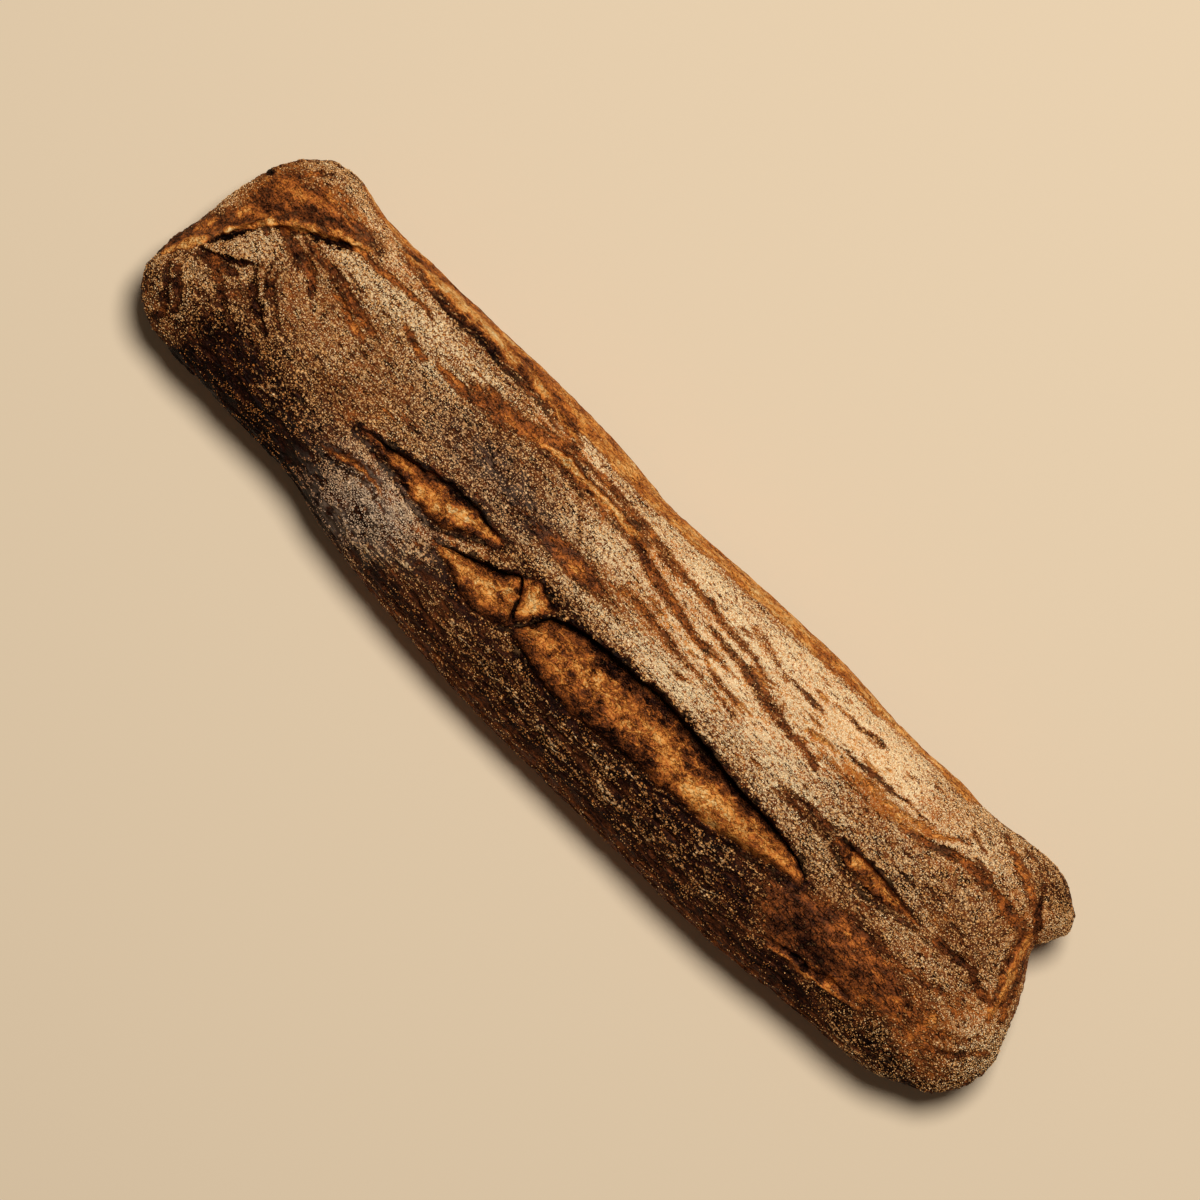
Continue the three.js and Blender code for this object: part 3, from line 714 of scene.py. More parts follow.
# How much more flour lies on the near wall.
WALL_FLOUR_ZONES = (
    (-161, -28, 14, 8, -0.2), (-150, -42, 50, 4, -0.12), (98, -34, 16, 5, -0.05), (79, -26, 8, 6, 0.08),
    (105, -43, 20, 5, 0.05), (-60, -34, 12, 6, -0.05), (20, -44, 50, 6, 0.08), (-30, -44, 30, 8, 0.06),
    (60, -28, 50, 4, -0.04), (-83, -34, 18, 14, 0.25), (70, -45, 40, 5, 0.08), (8, -32, 12, 3, 0.06),
    (-175, -31, 7, 5, 0.12), (-142, -25, 9, 4, 0.04), (30, -36, 8, 6, 0.06),
)
WALL_BAKE_ZONES = (
    (-48, -35, 28, 8, -0.16), (-20, -48, 50, 4, -0.12), (105, -40, 24, 8, -0.1), (60, -48, 60, 4, -0.08),
)
STRETCHED_ZONES = (
    (30, 24, 60, 16, 0.45), (110, 40, 50, 10, 0.2), (-110, 18, 40, 16, 0.3), (150, 34, 20, 12, 0.5),
    (90, 6, 30, 5, 0.4), (-185, 20, 14, 20, 0.6), (178, -18, 14, 14, 0.6), (-90, 0, 40, 4, 0.4),
)
# Where the skin has cracked into small plates.
CRACKED_ZONES = (
    (168, -35, 24, 9, 1.0), (-92, -38, 28, 9, 0.8), (-80, -30, 16, 6, 0.4), (-186, -32, 14, 12, 0.7),
    (196, -12, 8, 16, 0.7), (110, -46, 40, 5, 0.5), (60, 30, 60, 14, 0.3), (-110, 28, 40, 8, 0.4),
)
# Where the near wall starts and where the unfloured far rim starts: points (x, y).
WALL_LINE = (
    (-200, -50), (-186, -46), (-176, -42), (-167, -28), (-160, -18), (-140, -20), (-118, -24), (-104, -34),
    (-78, -37), (-64, -24), (-20, -28), (40, -27), (85, -20), (98, -23), (108, -34), (122, -37), (150, -38),
    (200, -38),
)
RIM_LINE = (
    (-180, 60), (-165, 46), (-150, 43), (-60, 41), (-10, 41), (20, 43), (60, 45), (90, 46.5), (130, 47.5),
    (150, 56),
)

# How dark each part of the crust is baked, before its zones and noise are added.
SHEET_BAKE = 0.77
WALL_BAKE = 0.95
RIM_BAKE = 0.33
HEEL_BAKE = 0.62
MARK_BAKE = 0.66
SEAM_SKIN_BAKE = 0.63
SEAM_RIDGE_BAKE = 0.36
CRUMB_BAKE = 0.52
PORE_RIM_BAKE = 0.6
CHARRED = 0.98
# How much flour lies on each part.
SHEET_FLOUR = 0.42
WALL_FLOUR = 0.11
RIM_FLOUR = 0.28
HEEL_FLOUR = 0.3


def zones(xy, entries):
    total = np.zeros(len(xy))
    for x, y, rx, ry, amount in entries:
        total += amount * bell(np.hypot((xy[:, 0] - x) / rx, (xy[:, 1] - y) / ry))
    return total


def crust_waves(points):
    """Noises that more than one part of the crust follows."""
    grain = along_grain(points)
    return SimpleNamespace(
        broad=layered_noise(points, (40, 16, 16), 20),
        patchy=layered_noise(grain, (14, 5, 5), 24),
        streaky=layered_noise(grain, (17, 2.2, 2.2), 28),
        layered=layered_noise(grain, (34, 2.4, 2.4), 32),
        blotchy=layered_noise(points, (9, 6, 6), 36),
        fibrous=noise(points, (2.2, 3, 3), 38),
    )


def whole_crust(points, wave):
    """The sheet, the near wall, the far rim and the heel, before any mark or split."""
    xy = points[:, :2]
    x, y, z = points.T
    from_edge = y - curve_height(NEAR_EDGE, x)
    wall = ramp(y - np.interp(x, *np.transpose(WALL_LINE)), 2, -5)
    far_rim = ramp(y - np.interp(x, *np.transpose(RIM_LINE)) + 2 * wave.streaky, -1.5, 1)
    under = ramp(z - widest(x) + 3 * wave.patchy + 2 * wave.blotchy, 2, -7)

    bake = SHEET_BAKE + zones(xy, BAKE_ZONES) + 0.07 * wave.broad + 0.07 * wave.patchy
    bake = mix(bake, WALL_BAKE + 0.05 * wave.patchy + zones(xy, WALL_BAKE_ZONES), wall)
    bake = mix(bake, RIM_BAKE + 0.14 * wave.layered + 0.08 * wave.broad, far_rim)
    bake = mix(bake, HEEL_BAKE + 0.08 * wave.patchy, under)
    bake -= 0.2 * ramp(from_edge, 6, 0) * wall * ramp(x, -110, -70)

    flour = SHEET_FLOUR + zones(xy, FLOUR_ZONES) + 0.12 * wave.broad + 0.14 * wave.patchy
    wall_flour = WALL_FLOUR + 0.05 * wave.patchy + 0.3 * ramp(x, 135, 165)
    flour = mix(flour, wall_flour + zones(xy, WALL_FLOUR_ZONES), wall)
    flour -= 0.2 * ramp(from_edge, 14, 3) * ramp(x, 220, 140)
    flour = mix(flour, RIM_FLOUR * ramp(wave.layered, 0.25, 0.6), far_rim)
    flour = mix(flour, HEEL_FLOUR + 0.2 * wave.patchy, under)

    stretched = layered_noise(along_grain(points), (15, 2.1, 2.1), 60)
    torn = ramp(stretched + 0.32 * zones(xy, STRETCHED_ZONES), 0.42, 0.56) * (1 - wall)
    return SimpleNamespace(
        bake=bake, flour=flour, dust=flour.copy(), torn=torn, wall=wall * (1 - under),
        ash=zones(xy, ASH_ZONES), cracked=zones(xy, CRACKED_ZONES),
        crumb=np.zeros(len(points)), membrane=np.zeros(len(points)),
    )


def draw_marks(crust, ragged, wave):
    """Every mark bares the crust of flour and has its own shade."""
    for _, darker, baring, points in MARKS:
        side, width = beside(ragged, points)
        strength = smooth(1.6 + 1.3 * wave.streaky - np.abs(side) / width) * smooth(width / 0.8)
        crust.flour *= 1 - baring * strength
        crust.dust *= 1 - strength * min(1, 0.5 + 3 * max(darker, 0))
        shade = MARK_BAKE + darker + 0.1 * wave.streaky
        crust.bake = mix(crust.bake, shade, strength * max(baring, 0.3))


def draw_seam(crust, ragged, wave):
    """The seam's bare skin, and its ridge, which is a little darker on its left."""
    side, width = beside(ragged, SEAM, SEAM_REACH)
    opening = smooth(width / 1.2)
    skin = opening * ramp(-side, -SEAM_OUTER - 3, -SEAM_OUTER + 1) * (side > 0)
    ridge = opening * ramp(side, 0.5 * width + 0.8, 0.5 * width - 0.4) * ramp(-side, width + 0.6, width)
    crust.flour *= (1 - 0.92 * skin) * (1 - ridge)
    crust.bake = mix(crust.bake, SEAM_SKIN_BAKE + 0.25 * wave.streaky + 0.2 * wave.patchy, skin)
    shade = SEAM_RIDGE_BAKE + 0.35 * wave.patchy + 0.14 * ramp(side, 0, width)
    crust.bake = mix(crust.bake, shade, ridge)


def draw_split(crust, xy, ragged, wave, split):
    """One split: its charred lip, its burnt crease, and its crumb, which has painted shadow just
    under the lip and darkens towards its near edge, partly as more baked crust and partly as
    painted shade where it turns from the light.
    """
    from_far, from_near, width = split_frame(ragged, split)
    opening = smooth(width / 3)
    inside = opening * ramp(from_far, 0, 0.8) * ramp(from_near, 0, 0.8)
    char = np.minimum(split["char"], 0.2 * width) * (1 + 0.5 * wave.patchy)
    lip = opening * ramp(from_far + 0.9 * wave.patchy + 0.9 * wave.fibrous, -1.8, -0.2)
    lip *= ramp(from_far, char + 0.7, char - 0.5)
    burnt = lip * ramp(from_near, 0, 2) * min(1, split["char"] / 1.5)
    crease = opening * bell((from_near + 0.9) / (0.6 + 0.3 * split["crease"])) * ramp(from_far, -1, 1)
    crease *= ramp(wave.patchy, -0.9, -0.1)

    across = (from_far / np.maximum(width, 1)).clip(0, 1)
    # painted shadow: the crumb is darkened just under the lip, where the lip's shadow falls
    shade = 0.37 * bell((from_far - 1) / np.maximum(0.19 * width, 1)) * min(1, split["char"] / 2)
    # darker towards the near edge: more baked crust, and partly painted shade where the crumb turns from
    # the light
    crumb_bake = CRUMB_BAKE + 0.36 * ramp(across, 0.4, 0.95) + shade
    crumb_bake += zones(xy, CRUMB_ZONES) + 0.09 * wave.blotchy
    crust.bake = mix(crust.bake, crumb_bake, inside)
    crust.bake = mix(crust.bake, CHARRED, crease * split["burn"])
    crust.bake = mix(crust.bake, CHARRED - 0.2 * ramp(from_far, 0.4, 1), burnt)
    crust.flour *= 1 - np.maximum.reduce([inside, lip, crease])
    crust.crumb = np.maximum(crust.crumb, inside * (1 - lip))


def draw_pits(crust, ragged, wave):
    """Every pit has a pale bubble skin or a hole darkened with the char colour as painted shade, and in the
    crumb a darker rim.
    """
    for x, y, radius, _, pale in PITS:
        gap = np.hypot(ragged[:, 0] - x, ragged[:, 1] - y) / radius
        disc = ramp(gap + 0.3 * wave.fibrous, 1.1, 0.5)
        crust.membrane = np.maximum(crust.membrane, disc * max(pale, 0))
        # painted shade: a hole is darkened with the char colour
        crust.bake = mix(crust.bake, CHARRED, disc * max(-pale, 0))
        crust.bake = mix(crust.bake, PORE_RIM_BAKE, 0.7 * bell((gap - 1.15) / 0.25) * crust.crumb)
        crust.flour *= 1 - disc


def crust_state(points):
    """How the crust is at each point, as arrays from 0 to 1.

    bake runs from cream crumb over gold, orange and brown to char. flour is how much of the
    crust its grains cover, dust how much of the finest flour lies on it, and torn how far the
    floured skin has torn open. ash is how grey it is, crumb how far it is open crumb, membrane
    how far it is the skin of a bubble, wall how far it is the wrinkled, nearly black near side,
    and cracked how far the skin has cracked into plates.
    """
    xy = points[:, :2]
    ragged = rough_edges(xy)
    wave = crust_waves(points)
    crust = whole_crust(points, wave)
    draw_marks(crust, ragged, wave)
    draw_seam(crust, ragged, wave)
    for split in SPLITS:
        draw_split(crust, xy, ragged, wave, split)
    draw_pits(crust, ragged, wave)
    state = vars(crust)
    for name in ("torn", "ash", "wall", "dust", "cracked"):
        state[name] = state[name] * (1 - crust.crumb)
    return {name: values.clip(0, 1) for name, values in state.items()}


def crease_fields(points):
    """Noise whose zero lines are the sheet's cracks, the plates' edges and the wall's crests."""
    grain = along_grain(points)
    waved = np.column_stack([wobble(points[:, :2], 1.6, 7, 90), points[:, 2]])
    return dict(
        cracks=layered_noise(grain, (11, 3.2, 3.2), 80, 2),
        plates=layered_noise(points, (4.4, 3.4, 3.4), 84, 2),
        folds=layered_noise(waved, (13, 3.4, 3.4), 48, 2),
    )


def line(values, width):
    """1 on the zero lines of a noise, falling to 0 beside them."""
    return (1 - np.abs(values) / width).clip(0, 1)


def fine_relief(points, state, fields):
    """Unevenness (mm) along the normal: blistery sheet, wrinkled near wall, spongy crumb."""
    grain = along_grain(points)
    sheet = 0.5 * layered_noise(grain, (20, 6, 6), 40) + 0.16 * layered_noise(points, (6, 2.6, 2.6), 44)
    sheet -= 0.5 * line(layered_noise(grain, (20, 4, 4), 64, 2), 0.25)
    sheet -= 0.35 * state["torn"] + 0.25 * line(fields["cracks"], 0.2)
    sheet -= 0.5 * state["cracked"] * line(fields["plates"], 0.25)
    wall = 0.8 * line(fields["folds"], 0.3) + 0.2 * noise(points, (7, 2.4, 2.4), 52)
    sponge = 0.3 * layered_noise(points, (5, 4, 4), 56)
    mixed = mix(sheet, wall, state["wall"])
    mixed = mix(mixed, sponge, state["crumb"])
    return mixed * ramp(points[:, 2], 0, 4)


# The columns of the top's grid that grains are laid on.
PLACE, NORMAL = slice(0, 3), slice(3, 6)
FLOUR, WALL, BAKE, ASH, CRACKED = range(6, 11)
WALL_GRAINS = 0.16  # how much more flour counts as grains on the near wall


def build_loaf():
    """The loaf's piece, the grid of its top that grains are laid on, and its middle (mm)."""
    points, faces, top_count = loaf_mesh()
    centre = np.array([*(points[:top_count, :2].min(0) + points[:top_count, :2].max(0)) / 2, 0])
    rough = make_mesh("rough", points, faces)
    normals = vertex_normals(rough.data)
    bpy.data.objects.remove(rough)
    state = crust_state(points)
    fields = crease_fields(points)
    moved = points + normals * fine_relief(points, state, fields)[:, None]
    moved[:top_count, 1] += lip_lean(points[:top_count, :2])
    piece = make_mesh("loaf_crust", moved - centre, faces)
    for name, values in state.items():
        add_attribute(piece, name, values)
    for name in ("cracks", "folds"):
        add_attribute(piece, name, fields[name])
    add_attribute(piece, "across", across_grain(points[:, :2]) * MM)
    normals = vertex_normals(piece.data)
    flour = state["flour"] * (1 - state["torn"]) + WALL_GRAINS * state["wall"]
    rows = [moved, normals, flour, state["wall"], state["bake"], state["ash"], state["cracked"]]
    top = np.column_stack(rows)[:top_count].reshape(STATIONS + 1, TOP_STEPS + 1, -1)
    return piece, top, centre


# ---- loose grains of flour ----
# Each is a closed, uneven tetrahedron that lies on the crust.
TETRAHEDRON = np.array([(1, 1, 1), (1, -1, -1), (-1, 1, -1), (-1, -1, 1)]) / math.sqrt(3)
TETRAHEDRON_FACES = np.array([(0, 2, 1), (0, 1, 3), (0, 3, 2), (1, 2, 3)])
GRAIN_SIZE = (0.45, 0.8)
FLOUR_SIZE = (0.34, 0.6)
GRAIN_UNEVENNESS = (0.75, 1.25)  # its corners' distances from its middle, in radii
GRAIN_FLATTENING = 0.35
GRAIN_LIFT = 0.4  # how high its middle lies, as a share of its radius
BRAN_SHARE = 0.4
THICK_FLOUR = 0.2  # the finest grains lie only where there is more flour than this
GRAIN_SEED = 5


def grain_places(top, rng, thin_flour):
    """Places of the grains: at most one in each square of the top grid, so they lie evenly.

    They lie where there is more flour than thin_flour.
    """
    corners = [top[:-1, :-1], top[1:, :-1], top[1:, 1:], top[:-1, 1:]]
    corners = [corner.reshape(-1, top.shape[2]) for corner in corners]
    a, b = rng.uniform(0.08, 0.92, (2, len(corners[0]), 1))
    found = mix(mix(corners[0], corners[1], a), mix(corners[3], corners[2], a), b)
    points, fields = found[:, PLACE], crease_fields(found[:, PLACE])
    spare = found[:, FLOUR] - thin_flour
    cover = 0.26 + 1.45 * spare + 0.3 * layered_noise(points, (4, 3.2, 3.2), 70)
    cover += 0.35 * layered_noise(along_grain(points), (8, 1.6, 1.6), 74)
    cover -= 0.3 * line(fields["cracks"], 0.1) + 0.3 * found[:, CRACKED]
    cover += found[:, WALL] * (1.6 * line(fields["folds"], 0.15) - 0.55)
    cover *= ramp(spare, 0.02, 0.2)
    rim_height = points[:, 2] - widest(points[:, 0])
    cover *= ramp(rim_height + 5 * layered_noise(points, (12, 12, 5), 76), 0, 7)
    return found[rng.random(len(found)) < cover]


def add_grains(name, found, size, centre, material, rng):
    count = len(found)
    spin = rng.normal(size=(count, 4))
    spin /= np.linalg.norm(spin, axis=1)[:, None]
    shape = TETRAHEDRON * rng.uniform(*GRAIN_UNEVENNESS, (count, 4, 1))
    w, axis = spin[:, None, :1], spin[:, None, 1:]
    turned = shape + 2 * np.cross(axis, np.cross(axis, shape) + w * shape)
    normal = found[:, None, NORMAL]
    turned -= GRAIN_FLATTENING * (turned * normal).sum(-1, keepdims=True) * normal
    radius = rng.uniform(*size, (count, 1, 1)) / 2
    points = found[:, None, PLACE] + radius * (turned + GRAIN_LIFT * normal)
    faces = TETRAHEDRON_FACES + len(TETRAHEDRON) * np.arange(count)[:, None, None]
    piece = make_mesh(name, points.reshape(-1, 3) - centre, faces.reshape(-1, 3).tolist())
    piece.data.shade_flat()
    # How pale each grain is: palest where the flour lies thick, and scorched on dark crust.
    pale = 0.9 * found[:, FLOUR] + 0.55 * rng.random(count) - 0.05
    pale -= 0.45 * ramp(found[:, BAKE], 0.72, 1)
    for field, values in (("pale", pale), ("ash", found[:, ASH])):
        add_attribute(piece, field, np.repeat(values.clip(0, 1), len(TETRAHEDRON)))
    piece.data.materials.append(material)
    return piece


# ---- materials ----


def linear(red, green, blue):
    """A colour given as 0 to 255 display values, as the linear values that materials take."""
    values = np.array([red, green, blue]) / 255
    values = np.where(values <= 0.04045, values / 12.92, ((values + 0.055) / 1.055) ** 2.4)
    return (*values.tolist(), 1.0)


CRUST_COLOURS = (
    (0.0, linear(236, 208, 152)), (0.15, linear(228, 174, 104)), (0.32, linear(214, 137, 59)),
    (0.46, linear(175, 95, 37)), (0.6, linear(122, 63, 27)), (0.74, linear(74, 37, 17)),
    (0.87, linear(36, 13, 6)), (1.0, linear(13, 4, 2)),
)
BRAN_COLOURS = ((0.0, linear(112, 60, 24)), (1.0, linear(226, 162, 90)))
DUST_AND_SHEEN = linear(174, 123, 77)
GRAIN_COLOURS = (
    (0.0, linear(172, 102, 44)), (0.5, linear(226, 169, 104)), (1.0, linear(255, 228, 178)),
)
THIN_FILM = linear(192, 132, 75)
THICK_FILM = linear(246, 214, 164)
ASH_GRAIN = linear(216, 188, 158)
ASH_FILM = linear(138, 114, 94)
CRUST_SPECULAR = 0.03
GRAIN_SPECULAR = 0.04


def per_metre(size_mm):
    """Waves for each metre of a pattern whose waves are size_mm long."""
    return 1 / (size_mm * MM)


class Nodes:
    """Short calls that add nodes to a material. Most return the new node's output socket."""

    def __init__(self, name):
        self.material = bpy.data.materials.new(name)
        self.material.use_nodes = True
        self.tree = self.material.node_tree
        self.shader = self.tree.nodes["Principled BSDF"]
        self.place = self.add("ShaderNodeTexCoord").outputs["Object"]

    def add(self, kind, inputs=None, **settings):
        node = self.tree.nodes.new(kind)
        for key, value in settings.items():
            setattr(node, key, value)
        for key, value in (inputs or {}).items():
            self.put(node.inputs[key], value)
        return node

    def put(self, socket, value):
        if isinstance(value, bpy.types.NodeSocket):
            self.tree.links.new(value, socket)
        else:
            socket.default_value = value

    def attribute(self, name):
        return self.add("ShaderNodeAttribute", attribute_name=name).outputs["Fac"]

    def math(self, operation, a, b=0.0, clamp=False):
        node = self.add("ShaderNodeMath", {0: a, 1: b}, operation=operation, use_clamp=clamp)
        return node.outputs[0]

    def plus(self, first, *others):
        for other in others:
            first = self.math("ADD", first, other)
        return first

    def times(self, first, *others):
        for other in others:
            first = self.math("MULTIPLY", first, other)
        return first

    def largest(self, first, *others):
        for other in others:
            first = self.math("MAXIMUM", first, other)
        return first

    def swing(self, value, amount):
        """A pattern from 0 to 1 made to swing about 0."""
        return self.times(self.math("SUBTRACT", value, 0.5), amount)

    def line(self, value, width):
        """1 on the lines where a value crosses 0, falling to 0 beside them."""
        return self.rise(self.math("ABSOLUTE", value), width, 0.0)

    def rise(self, value, start, end):
        """The S-shaped rise from 0 at start to 1 at end."""
        node = self.add(
            "ShaderNodeMapRange",
            {"Value": value, "From Min": start, "From Max": end},
            interpolation_type="SMOOTHSTEP",
        )
        return node.outputs["Result"]

    def stretch(self, scale):
        """The surface's place, scaled per axis, in waves for each metre."""
        return self.add(
            "ShaderNodeVectorMath", {0: self.place, 1: scale}, operation="MULTIPLY"
        ).outputs[0]

    def even(self, size):
        """A place for patterns of a size (mm), a quarter longer along the loaf."""
        return self.stretch((per_metre(size * 1.25), per_metre(size), per_metre(size)))

    def grained(self, length, width):
        """A place for patterns (mm) drawn out along the crust's grain."""
        parts = self.add("ShaderNodeSeparateXYZ", {"Vector": self.place}).outputs
        rows = ((parts["X"], length), (self.attribute("across"), width), (parts["Z"], width))
        values = {i: self.times(value, per_metre(size)) for i, (value, size) in enumerate(rows)}
        return self.add("ShaderNodeCombineXYZ", values).outputs["Vector"]

    def moved(self, place, shift):
        return self.add("ShaderNodeVectorMath", {0: place, 1: shift}, operation="ADD").outputs[0]

    def noise(self, vector, detail, roughness):
        node = self.add(
            "ShaderNodeTexNoise",
            {"Vector": vector, "Scale": 1.0, "Detail": detail, "Roughness": roughness},
        )
        return node.outputs["Fac"]

    def cells(self, vector):
        """Random cells: each one's distance from its middle, and its random colour."""
        node = self.add("ShaderNodeTexVoronoi", {"Vector": vector, "Scale": 1.0})
        return node.outputs["Distance"], node.outputs["Color"]

    def cell_edges(self, vector):
        """The distance from the edges between random cells."""
        node = self.add(
            "ShaderNodeTexVoronoi", {"Vector": vector, "Scale": 1.0}, feature="DISTANCE_TO_EDGE"
        )
        return node.outputs["Distance"]

    def channel(self, colour, index):
        return self.add("ShaderNodeSeparateColor", {"Color": colour}).outputs[index]

    def blend(self, factor, a, b):
        node = self.add("ShaderNodeMix", data_type="RGBA")
        for socket, value in ((node.inputs[0], factor), (node.inputs[6], a), (node.inputs[7], b)):
            self.put(socket, value)
        return node.outputs[2]

    def colours(self, value, stops):
        node = self.add("ShaderNodeValToRGB", {"Fac": value})
        ramp_of_colours = node.color_ramp
        while len(ramp_of_colours.elements) < len(stops):
            ramp_of_colours.elements.new(0.5)
        for element, (place, colour) in zip(ramp_of_colours.elements, stops):
            element.position = place
            element.color = colour
        return node.outputs["Color"]

    def surface(self, colour, roughness, specular):
        for name, value in (
            ("Base Color", colour), ("Roughness", roughness), ("Specular IOR Level", specular),
        ):
            self.put(self.shader.inputs[name], value)

    def bump(self, height, strength, distance):
        settings = {"Height": height, "Strength": strength, "Distance": distance * MM}
        node = self.add("ShaderNodeBump", settings)
        self.put(self.shader.inputs["Normal"], node.outputs["Normal"])


def crust_patterns(n):
    """Patterns that the crust's colour and bump share, from 0 to 1.

    sheet is 1 away from the crumb and the near wall. mottle, blotch, speck and fine are noises
    without a direction, and streak follows the grain. wrinkle is the thin lines of smooth skin,
    and crest the tops of the near wall's folds.
    """
    p = SimpleNamespace(crumb=n.attribute("crumb"), wall=n.attribute("wall"))
    p.sheet = n.rise(n.plus(p.crumb, p.wall), 1.0, 0.0)
    p.mottle = n.noise(n.even(3.4), 4.0, 0.6)
    p.blotch = n.noise(n.even(8), 3.0, 0.5)
    p.speck = n.noise(n.even(1.0), 2.0, 0.6)
    p.fine = n.noise(n.even(0.55), 1.0, 0.5)
    p.streak = n.noise(n.grained(7, 1.5), 4.0, 0.62)
    p.wrinkle = n.line(n.swing(n.noise(n.even(2.6), 3.0, 0.6), 1.0), 0.025)
    p.crest = n.times(n.line(n.attribute("folds"), 0.15), p.wall)
    return p


def add_cracks(n, p):
    """The sheet's dark lines with the gaps between its plates, and the streaks where it has torn."""
    plate_place = n.moved(n.even(2.5), n.swing(p.mottle, 2.2))
    plates = n.times(n.rise(n.cell_edges(plate_place), 0.19, 0.06), n.attribute("cracked"))
    cracks = n.times(n.line(n.attribute("cracks"), 0.06), n.rise(p.mottle, 0.46, 0.56))
    flecks = n.rise(n.noise(n.grained(3.4, 0.9), 2.0, 0.5), 0.6, 0.68)
    p.crack = n.times(n.largest(n.times(cracks, 0.6), flecks, plates), p.sheet)
    tears = n.rise(n.noise(n.grained(13, 2.0), 2.5, 0.5), 0.66, 0.7)
    p.torn = n.times(n.largest(n.attribute("torn"), tears), p.sheet)


def add_sponge(n, p):
    """The crumb's pores, whose hollows get painted shade, and the pale strands between them, which are
    partly pale membrane and partly painted highlight.
    """
    place = n.moved(n.even(3.6), n.swing(p.mottle, 2.6))
    distance, random = n.cells(place)
    p.pores = n.times(n.rise(distance, 0.5, 0.2), n.rise(n.channel(random, 0), 0.62, 0.7), p.crumb)
    strands = n.rise(n.cell_edges(place), 0.13, 0.02)
    p.strands = n.times(strands, n.rise(p.blotch, 0.36, 0.5), p.crumb)


def add_cover(n, p):
    """How thick the flour lies, where it leaves the skin bare, and its finest grains."""
    flour = n.attribute("flour")
    cover = n.plus(
        flour, 0.04, n.swing(p.mottle, 0.45), n.swing(p.streak, 0.9), n.swing(p.speck, 0.8),
        n.times(p.crest, 0.45),
    )
    cover = n.times(cover, n.rise(flour, 0.02, 0.14))
    cover = n.math("SUBTRACT", cover, n.times(p.torn, 0.8))
    p.cover = n.math("SUBTRACT", cover, n.times(p.crack, 0.65), clamp=True)
    p.bare = n.times(n.rise(p.cover, 0.3, 0.05), n.rise(p.wall, 1.0, 0.0))
    p.smooth = n.largest(p.crumb, p.bare)
    distance, random = n.cells(n.even(0.95))
    present = n.math("LESS_THAN", n.channel(random, 0), n.times(p.cover, 0.95))
    p.grains = n.times(n.rise(distance, 0.5, 0.3), present)
    p.grain_tone = n.channel(random, 1)


def baked_colour(n, p):
    """The crust's own colour, from how dark it is baked, with a little dust on it and a painted sheen on
    its bare skin, both in the dust's colour.
    """
    bake = n.plus(
        n.attribute("bake"),
        n.swing(p.mottle, n.plus(0.45, n.times(p.bare, 0.1), n.times(p.crumb, -0.13))),
        n.swing(p.speck, n.plus(0.6, n.times(p.smooth, -0.32))),
        n.swing(p.blotch, n.plus(n.times(p.bare, 0.8), n.times(p.crumb, 0.45))),
        n.swing(p.streak, n.plus(0.5, n.times(p.smooth, -0.2))),
        n.swing(p.fine, n.times(p.smooth, 0.45)),
        # pores darken the crumb as painted shade in its hollows; strands lighten it as pale membrane and
        # painted highlight
        n.times(p.wrinkle, p.smooth, 0.16), n.times(p.pores, 0.14), n.times(p.strands, -0.18),
        n.times(p.crack, 0.14), n.times(p.torn, -0.06), n.times(n.attribute("membrane"), -0.34),
    )
    crust = n.colours(bake, CRUST_COLOURS)
    # painted sheen: patches of bare skin are lightened with the dust's colour, as if they caught the light
    sheen = n.times(n.rise(p.mottle, 0.45, 0.65), p.bare, n.rise(p.crumb, 1.0, 0.0), 0.5)
    dust = n.rise(n.plus(n.attribute("dust"), sheen, n.swing(p.speck, 1.5)), 0.4, 1.1)
    return n.blend(n.times(dust, 0.18), crust, DUST_AND_SHEEN)


def floured_colour(n, p, crust):
    """The crust under a film of flour, which ash turns grey in places, and under fine grains."""
    ash = n.attribute("ash")
    film = n.times(n.rise(n.plus(p.cover, n.swing(p.speck, 3.0)), 0.4, 1.0), 0.75)
    film_colour = n.blend(n.rise(p.cover, 0.4, 1.0), THIN_FILM, THICK_FILM)
    ash_film = n.times(ash, n.rise(p.mottle, 0.4, 0.6), n.rise(p.crack, 1.0, 0.2), 0.65)
    filmed = n.blend(ash_film, n.blend(film, crust, film_colour), ASH_FILM)
    pale = n.plus(n.times(p.grain_tone, 0.45), n.swing(p.speck, 0.6), n.times(p.cover, 0.9), -0.25)
    grain_colour = n.blend(n.times(ash, 0.7), n.colours(pale, GRAIN_COLOURS), ASH_GRAIN)
    return n.blend(p.grains, filmed, grain_colour)


def crust_height(n, p):
    """The height (in units of the bump's distance) of what is finer than the mesh."""
    return n.plus(
        n.times(p.grains, 0.35), n.times(p.mottle, 0.8),
        n.times(p.speck, n.plus(0.9, n.times(p.smooth, -0.5))),
        n.times(p.streak, n.plus(0.8, n.times(p.smooth, -0.6))),
        n.times(p.torn, -0.4), n.times(p.crack, -0.6), n.times(p.pores, -1.0),
        n.times(p.crest, 0.5), n.times(p.strands, 0.5),
        n.times(p.wrinkle, p.smooth, -0.5), n.times(p.fine, p.smooth, 0.25),
    )


def crust_material():
    n = Nodes("floured_crust")
    p = crust_patterns(n)
    add_cracks(n, p)
    add_sponge(n, p)
    add_cover(n, p)
    colour = floured_colour(n, p, baked_colour(n, p))
    rough = n.plus(0.5, n.times(p.grains, 0.38), n.swing(p.mottle, 0.4), n.swing(p.speck, 0.3))
    n.surface(colour, n.math("MINIMUM", rough, 0.95), CRUST_SPECULAR)
    n.bump(crust_height(n, p), 1.0, 0.8)
    return n.material


def grain_material(name, stops):
    n = Nodes(name)
    speck = n.noise(n.stretch((per_metre(0.3),) * 3), 2.0, 0.6)
    shade = n.plus(n.attribute("pale"), n.swing(speck, 0.5))
    colour = n.blend(n.times(n.attribute("ash"), 0.8), n.colours(shade, stops), ASH_GRAIN)
    n.surface(colour, n.plus(0.7, n.swing(speck, 0.3)), GRAIN_SPECULAR)
    n.bump(speck, 0.6, 0.1)
    return n.material


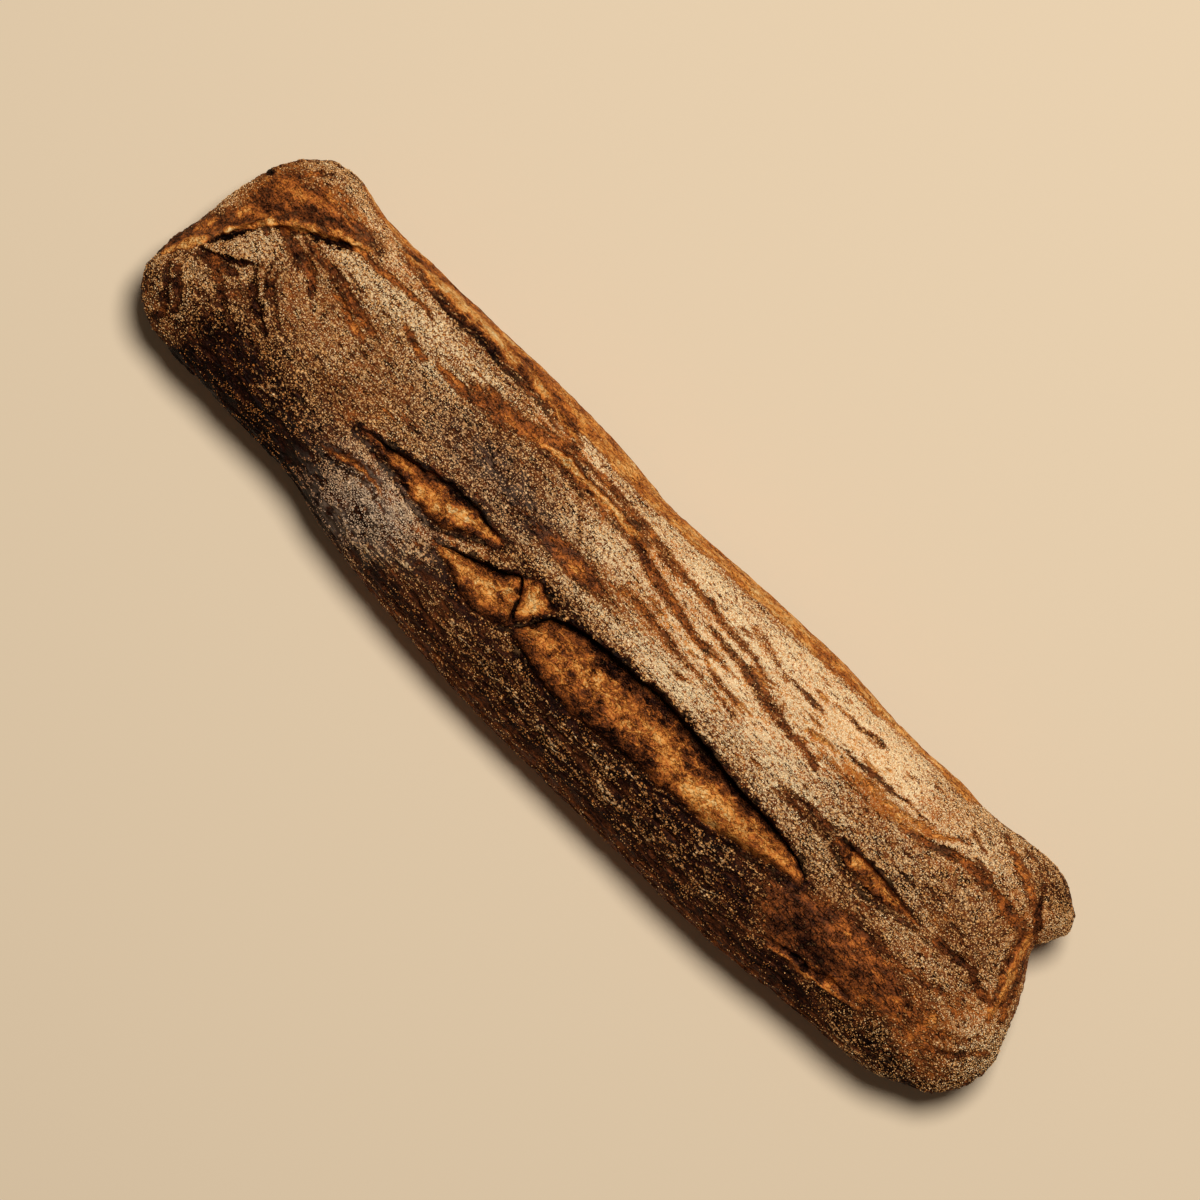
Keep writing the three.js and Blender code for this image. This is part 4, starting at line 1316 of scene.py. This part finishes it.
def add_flour(top, centre):
    """Semolina and bran on all the floured crust, and the finest grains where it lies thick."""
    semolina = grain_material("semolina", GRAIN_COLOURS)
    bran = grain_material("bran", BRAN_COLOURS)
    rng = np.random.default_rng(GRAIN_SEED)
    found = grain_places(top, rng, 0.0)
    is_bran = rng.random(len(found)) < BRAN_SHARE
    return [
        add_grains("semolina_grains", found[~is_bran], GRAIN_SIZE, centre, semolina, rng),
        add_grains("bran_grains", found[is_bran], GRAIN_SIZE, centre, bran, rng),
        add_grains("flour_grains", grain_places(top, rng, THICK_FLOUR), FLOUR_SIZE, centre, semolina, rng),
    ]


# ---- floor, light and camera ----

FLOOR_COLOUR = linear(219, 197, 166)
FLOOR_ROUGHNESS = 0.95
FLOOR_SPECULAR = 0.1
FLOOR_REACH = 6.0 / MM  # from its middle to each edge
VIEW_WIDTH = 415 * MM  # width of the view at the loaf's widest line
VIEW_CENTRE = (-8.2 * MM, 4.6 * MM)
VIEW_TURN = math.radians(45.5)  # how far the loaf lies turned in the view
LENS = 200.0
SENSOR = 36.0
KEY_ELEVATION = math.radians(70.8)
KEY_AZIMUTH = math.radians(98)  # from +X towards +Y
KEY_DISTANCE = 2.2
KEY_SIZE = 0.8
KEY_POWER = 51.5
FILL = 0.07  # strength of the light from all round
FILL_COLOUR = (1.0, 0.87, 0.72, 1)


def add_floor():
    corners = [(-1, -1, 0), (1, -1, 0), (1, 1, 0), (-1, 1, 0)]
    floor = make_mesh("floor", FLOOR_REACH * np.array(corners), [(0, 1, 2, 3)])
    n = Nodes("pale_floor")
    n.surface(FLOOR_COLOUR, FLOOR_ROUGHNESS, FLOOR_SPECULAR)
    floor.data.materials.append(n.material)


def aim(thing, place, target, up):
    """Puts a camera or light at a place, looking at a target."""
    back = np.array(place, float) - np.array(target, float)
    back /= np.linalg.norm(back)
    across = np.cross(up, back)
    across /= np.linalg.norm(across)
    over = np.cross(back, across)
    matrix = [[*row, at] for row, at in zip(np.array([across, over, back]).T, place)]
    thing.matrix_world = mathutils.Matrix([*matrix, [0, 0, 0, 1]])
    bpy.context.scene.collection.objects.link(thing)


def add_camera():
    camera = bpy.data.objects.new("camera", bpy.data.cameras.new("camera"))
    camera.data.lens = LENS
    camera.data.sensor_width = SENSOR
    height = WIDEST_Z * MM + VIEW_WIDTH * LENS / SENSOR
    up = (-math.sin(VIEW_TURN), math.cos(VIEW_TURN), 0)
    aim(camera, (*VIEW_CENTRE, height), (*VIEW_CENTRE, 0), up)
    bpy.context.scene.camera = camera


def add_light():
    key = bpy.data.objects.new("key", bpy.data.lights.new("key", "AREA"))
    key.data.shape = "DISK"
    key.data.size = KEY_SIZE
    key.data.energy = KEY_POWER
    flat = KEY_DISTANCE * math.cos(KEY_ELEVATION)
    place = (
        flat * math.cos(KEY_AZIMUTH), flat * math.sin(KEY_AZIMUTH),
        KEY_DISTANCE * math.sin(KEY_ELEVATION),
    )
    aim(key, place, (0, 0, 0), (1, 0, 0))
    world = bpy.data.worlds.new("studio")
    world.use_nodes = True
    background = world.node_tree.nodes["Background"]
    background.inputs["Color"].default_value = FILL_COLOUR
    background.inputs["Strength"].default_value = FILL
    bpy.context.scene.world = world
    bpy.context.scene.view_settings.view_transform = "Standard"


add_camera()
add_light()
add_floor()
loaf, top, centre = build_loaf()
loaf.data.materials.append(crust_material())
for piece in (loaf, *add_flour(top, centre)):
    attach(piece, "root")
    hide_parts("loaf")
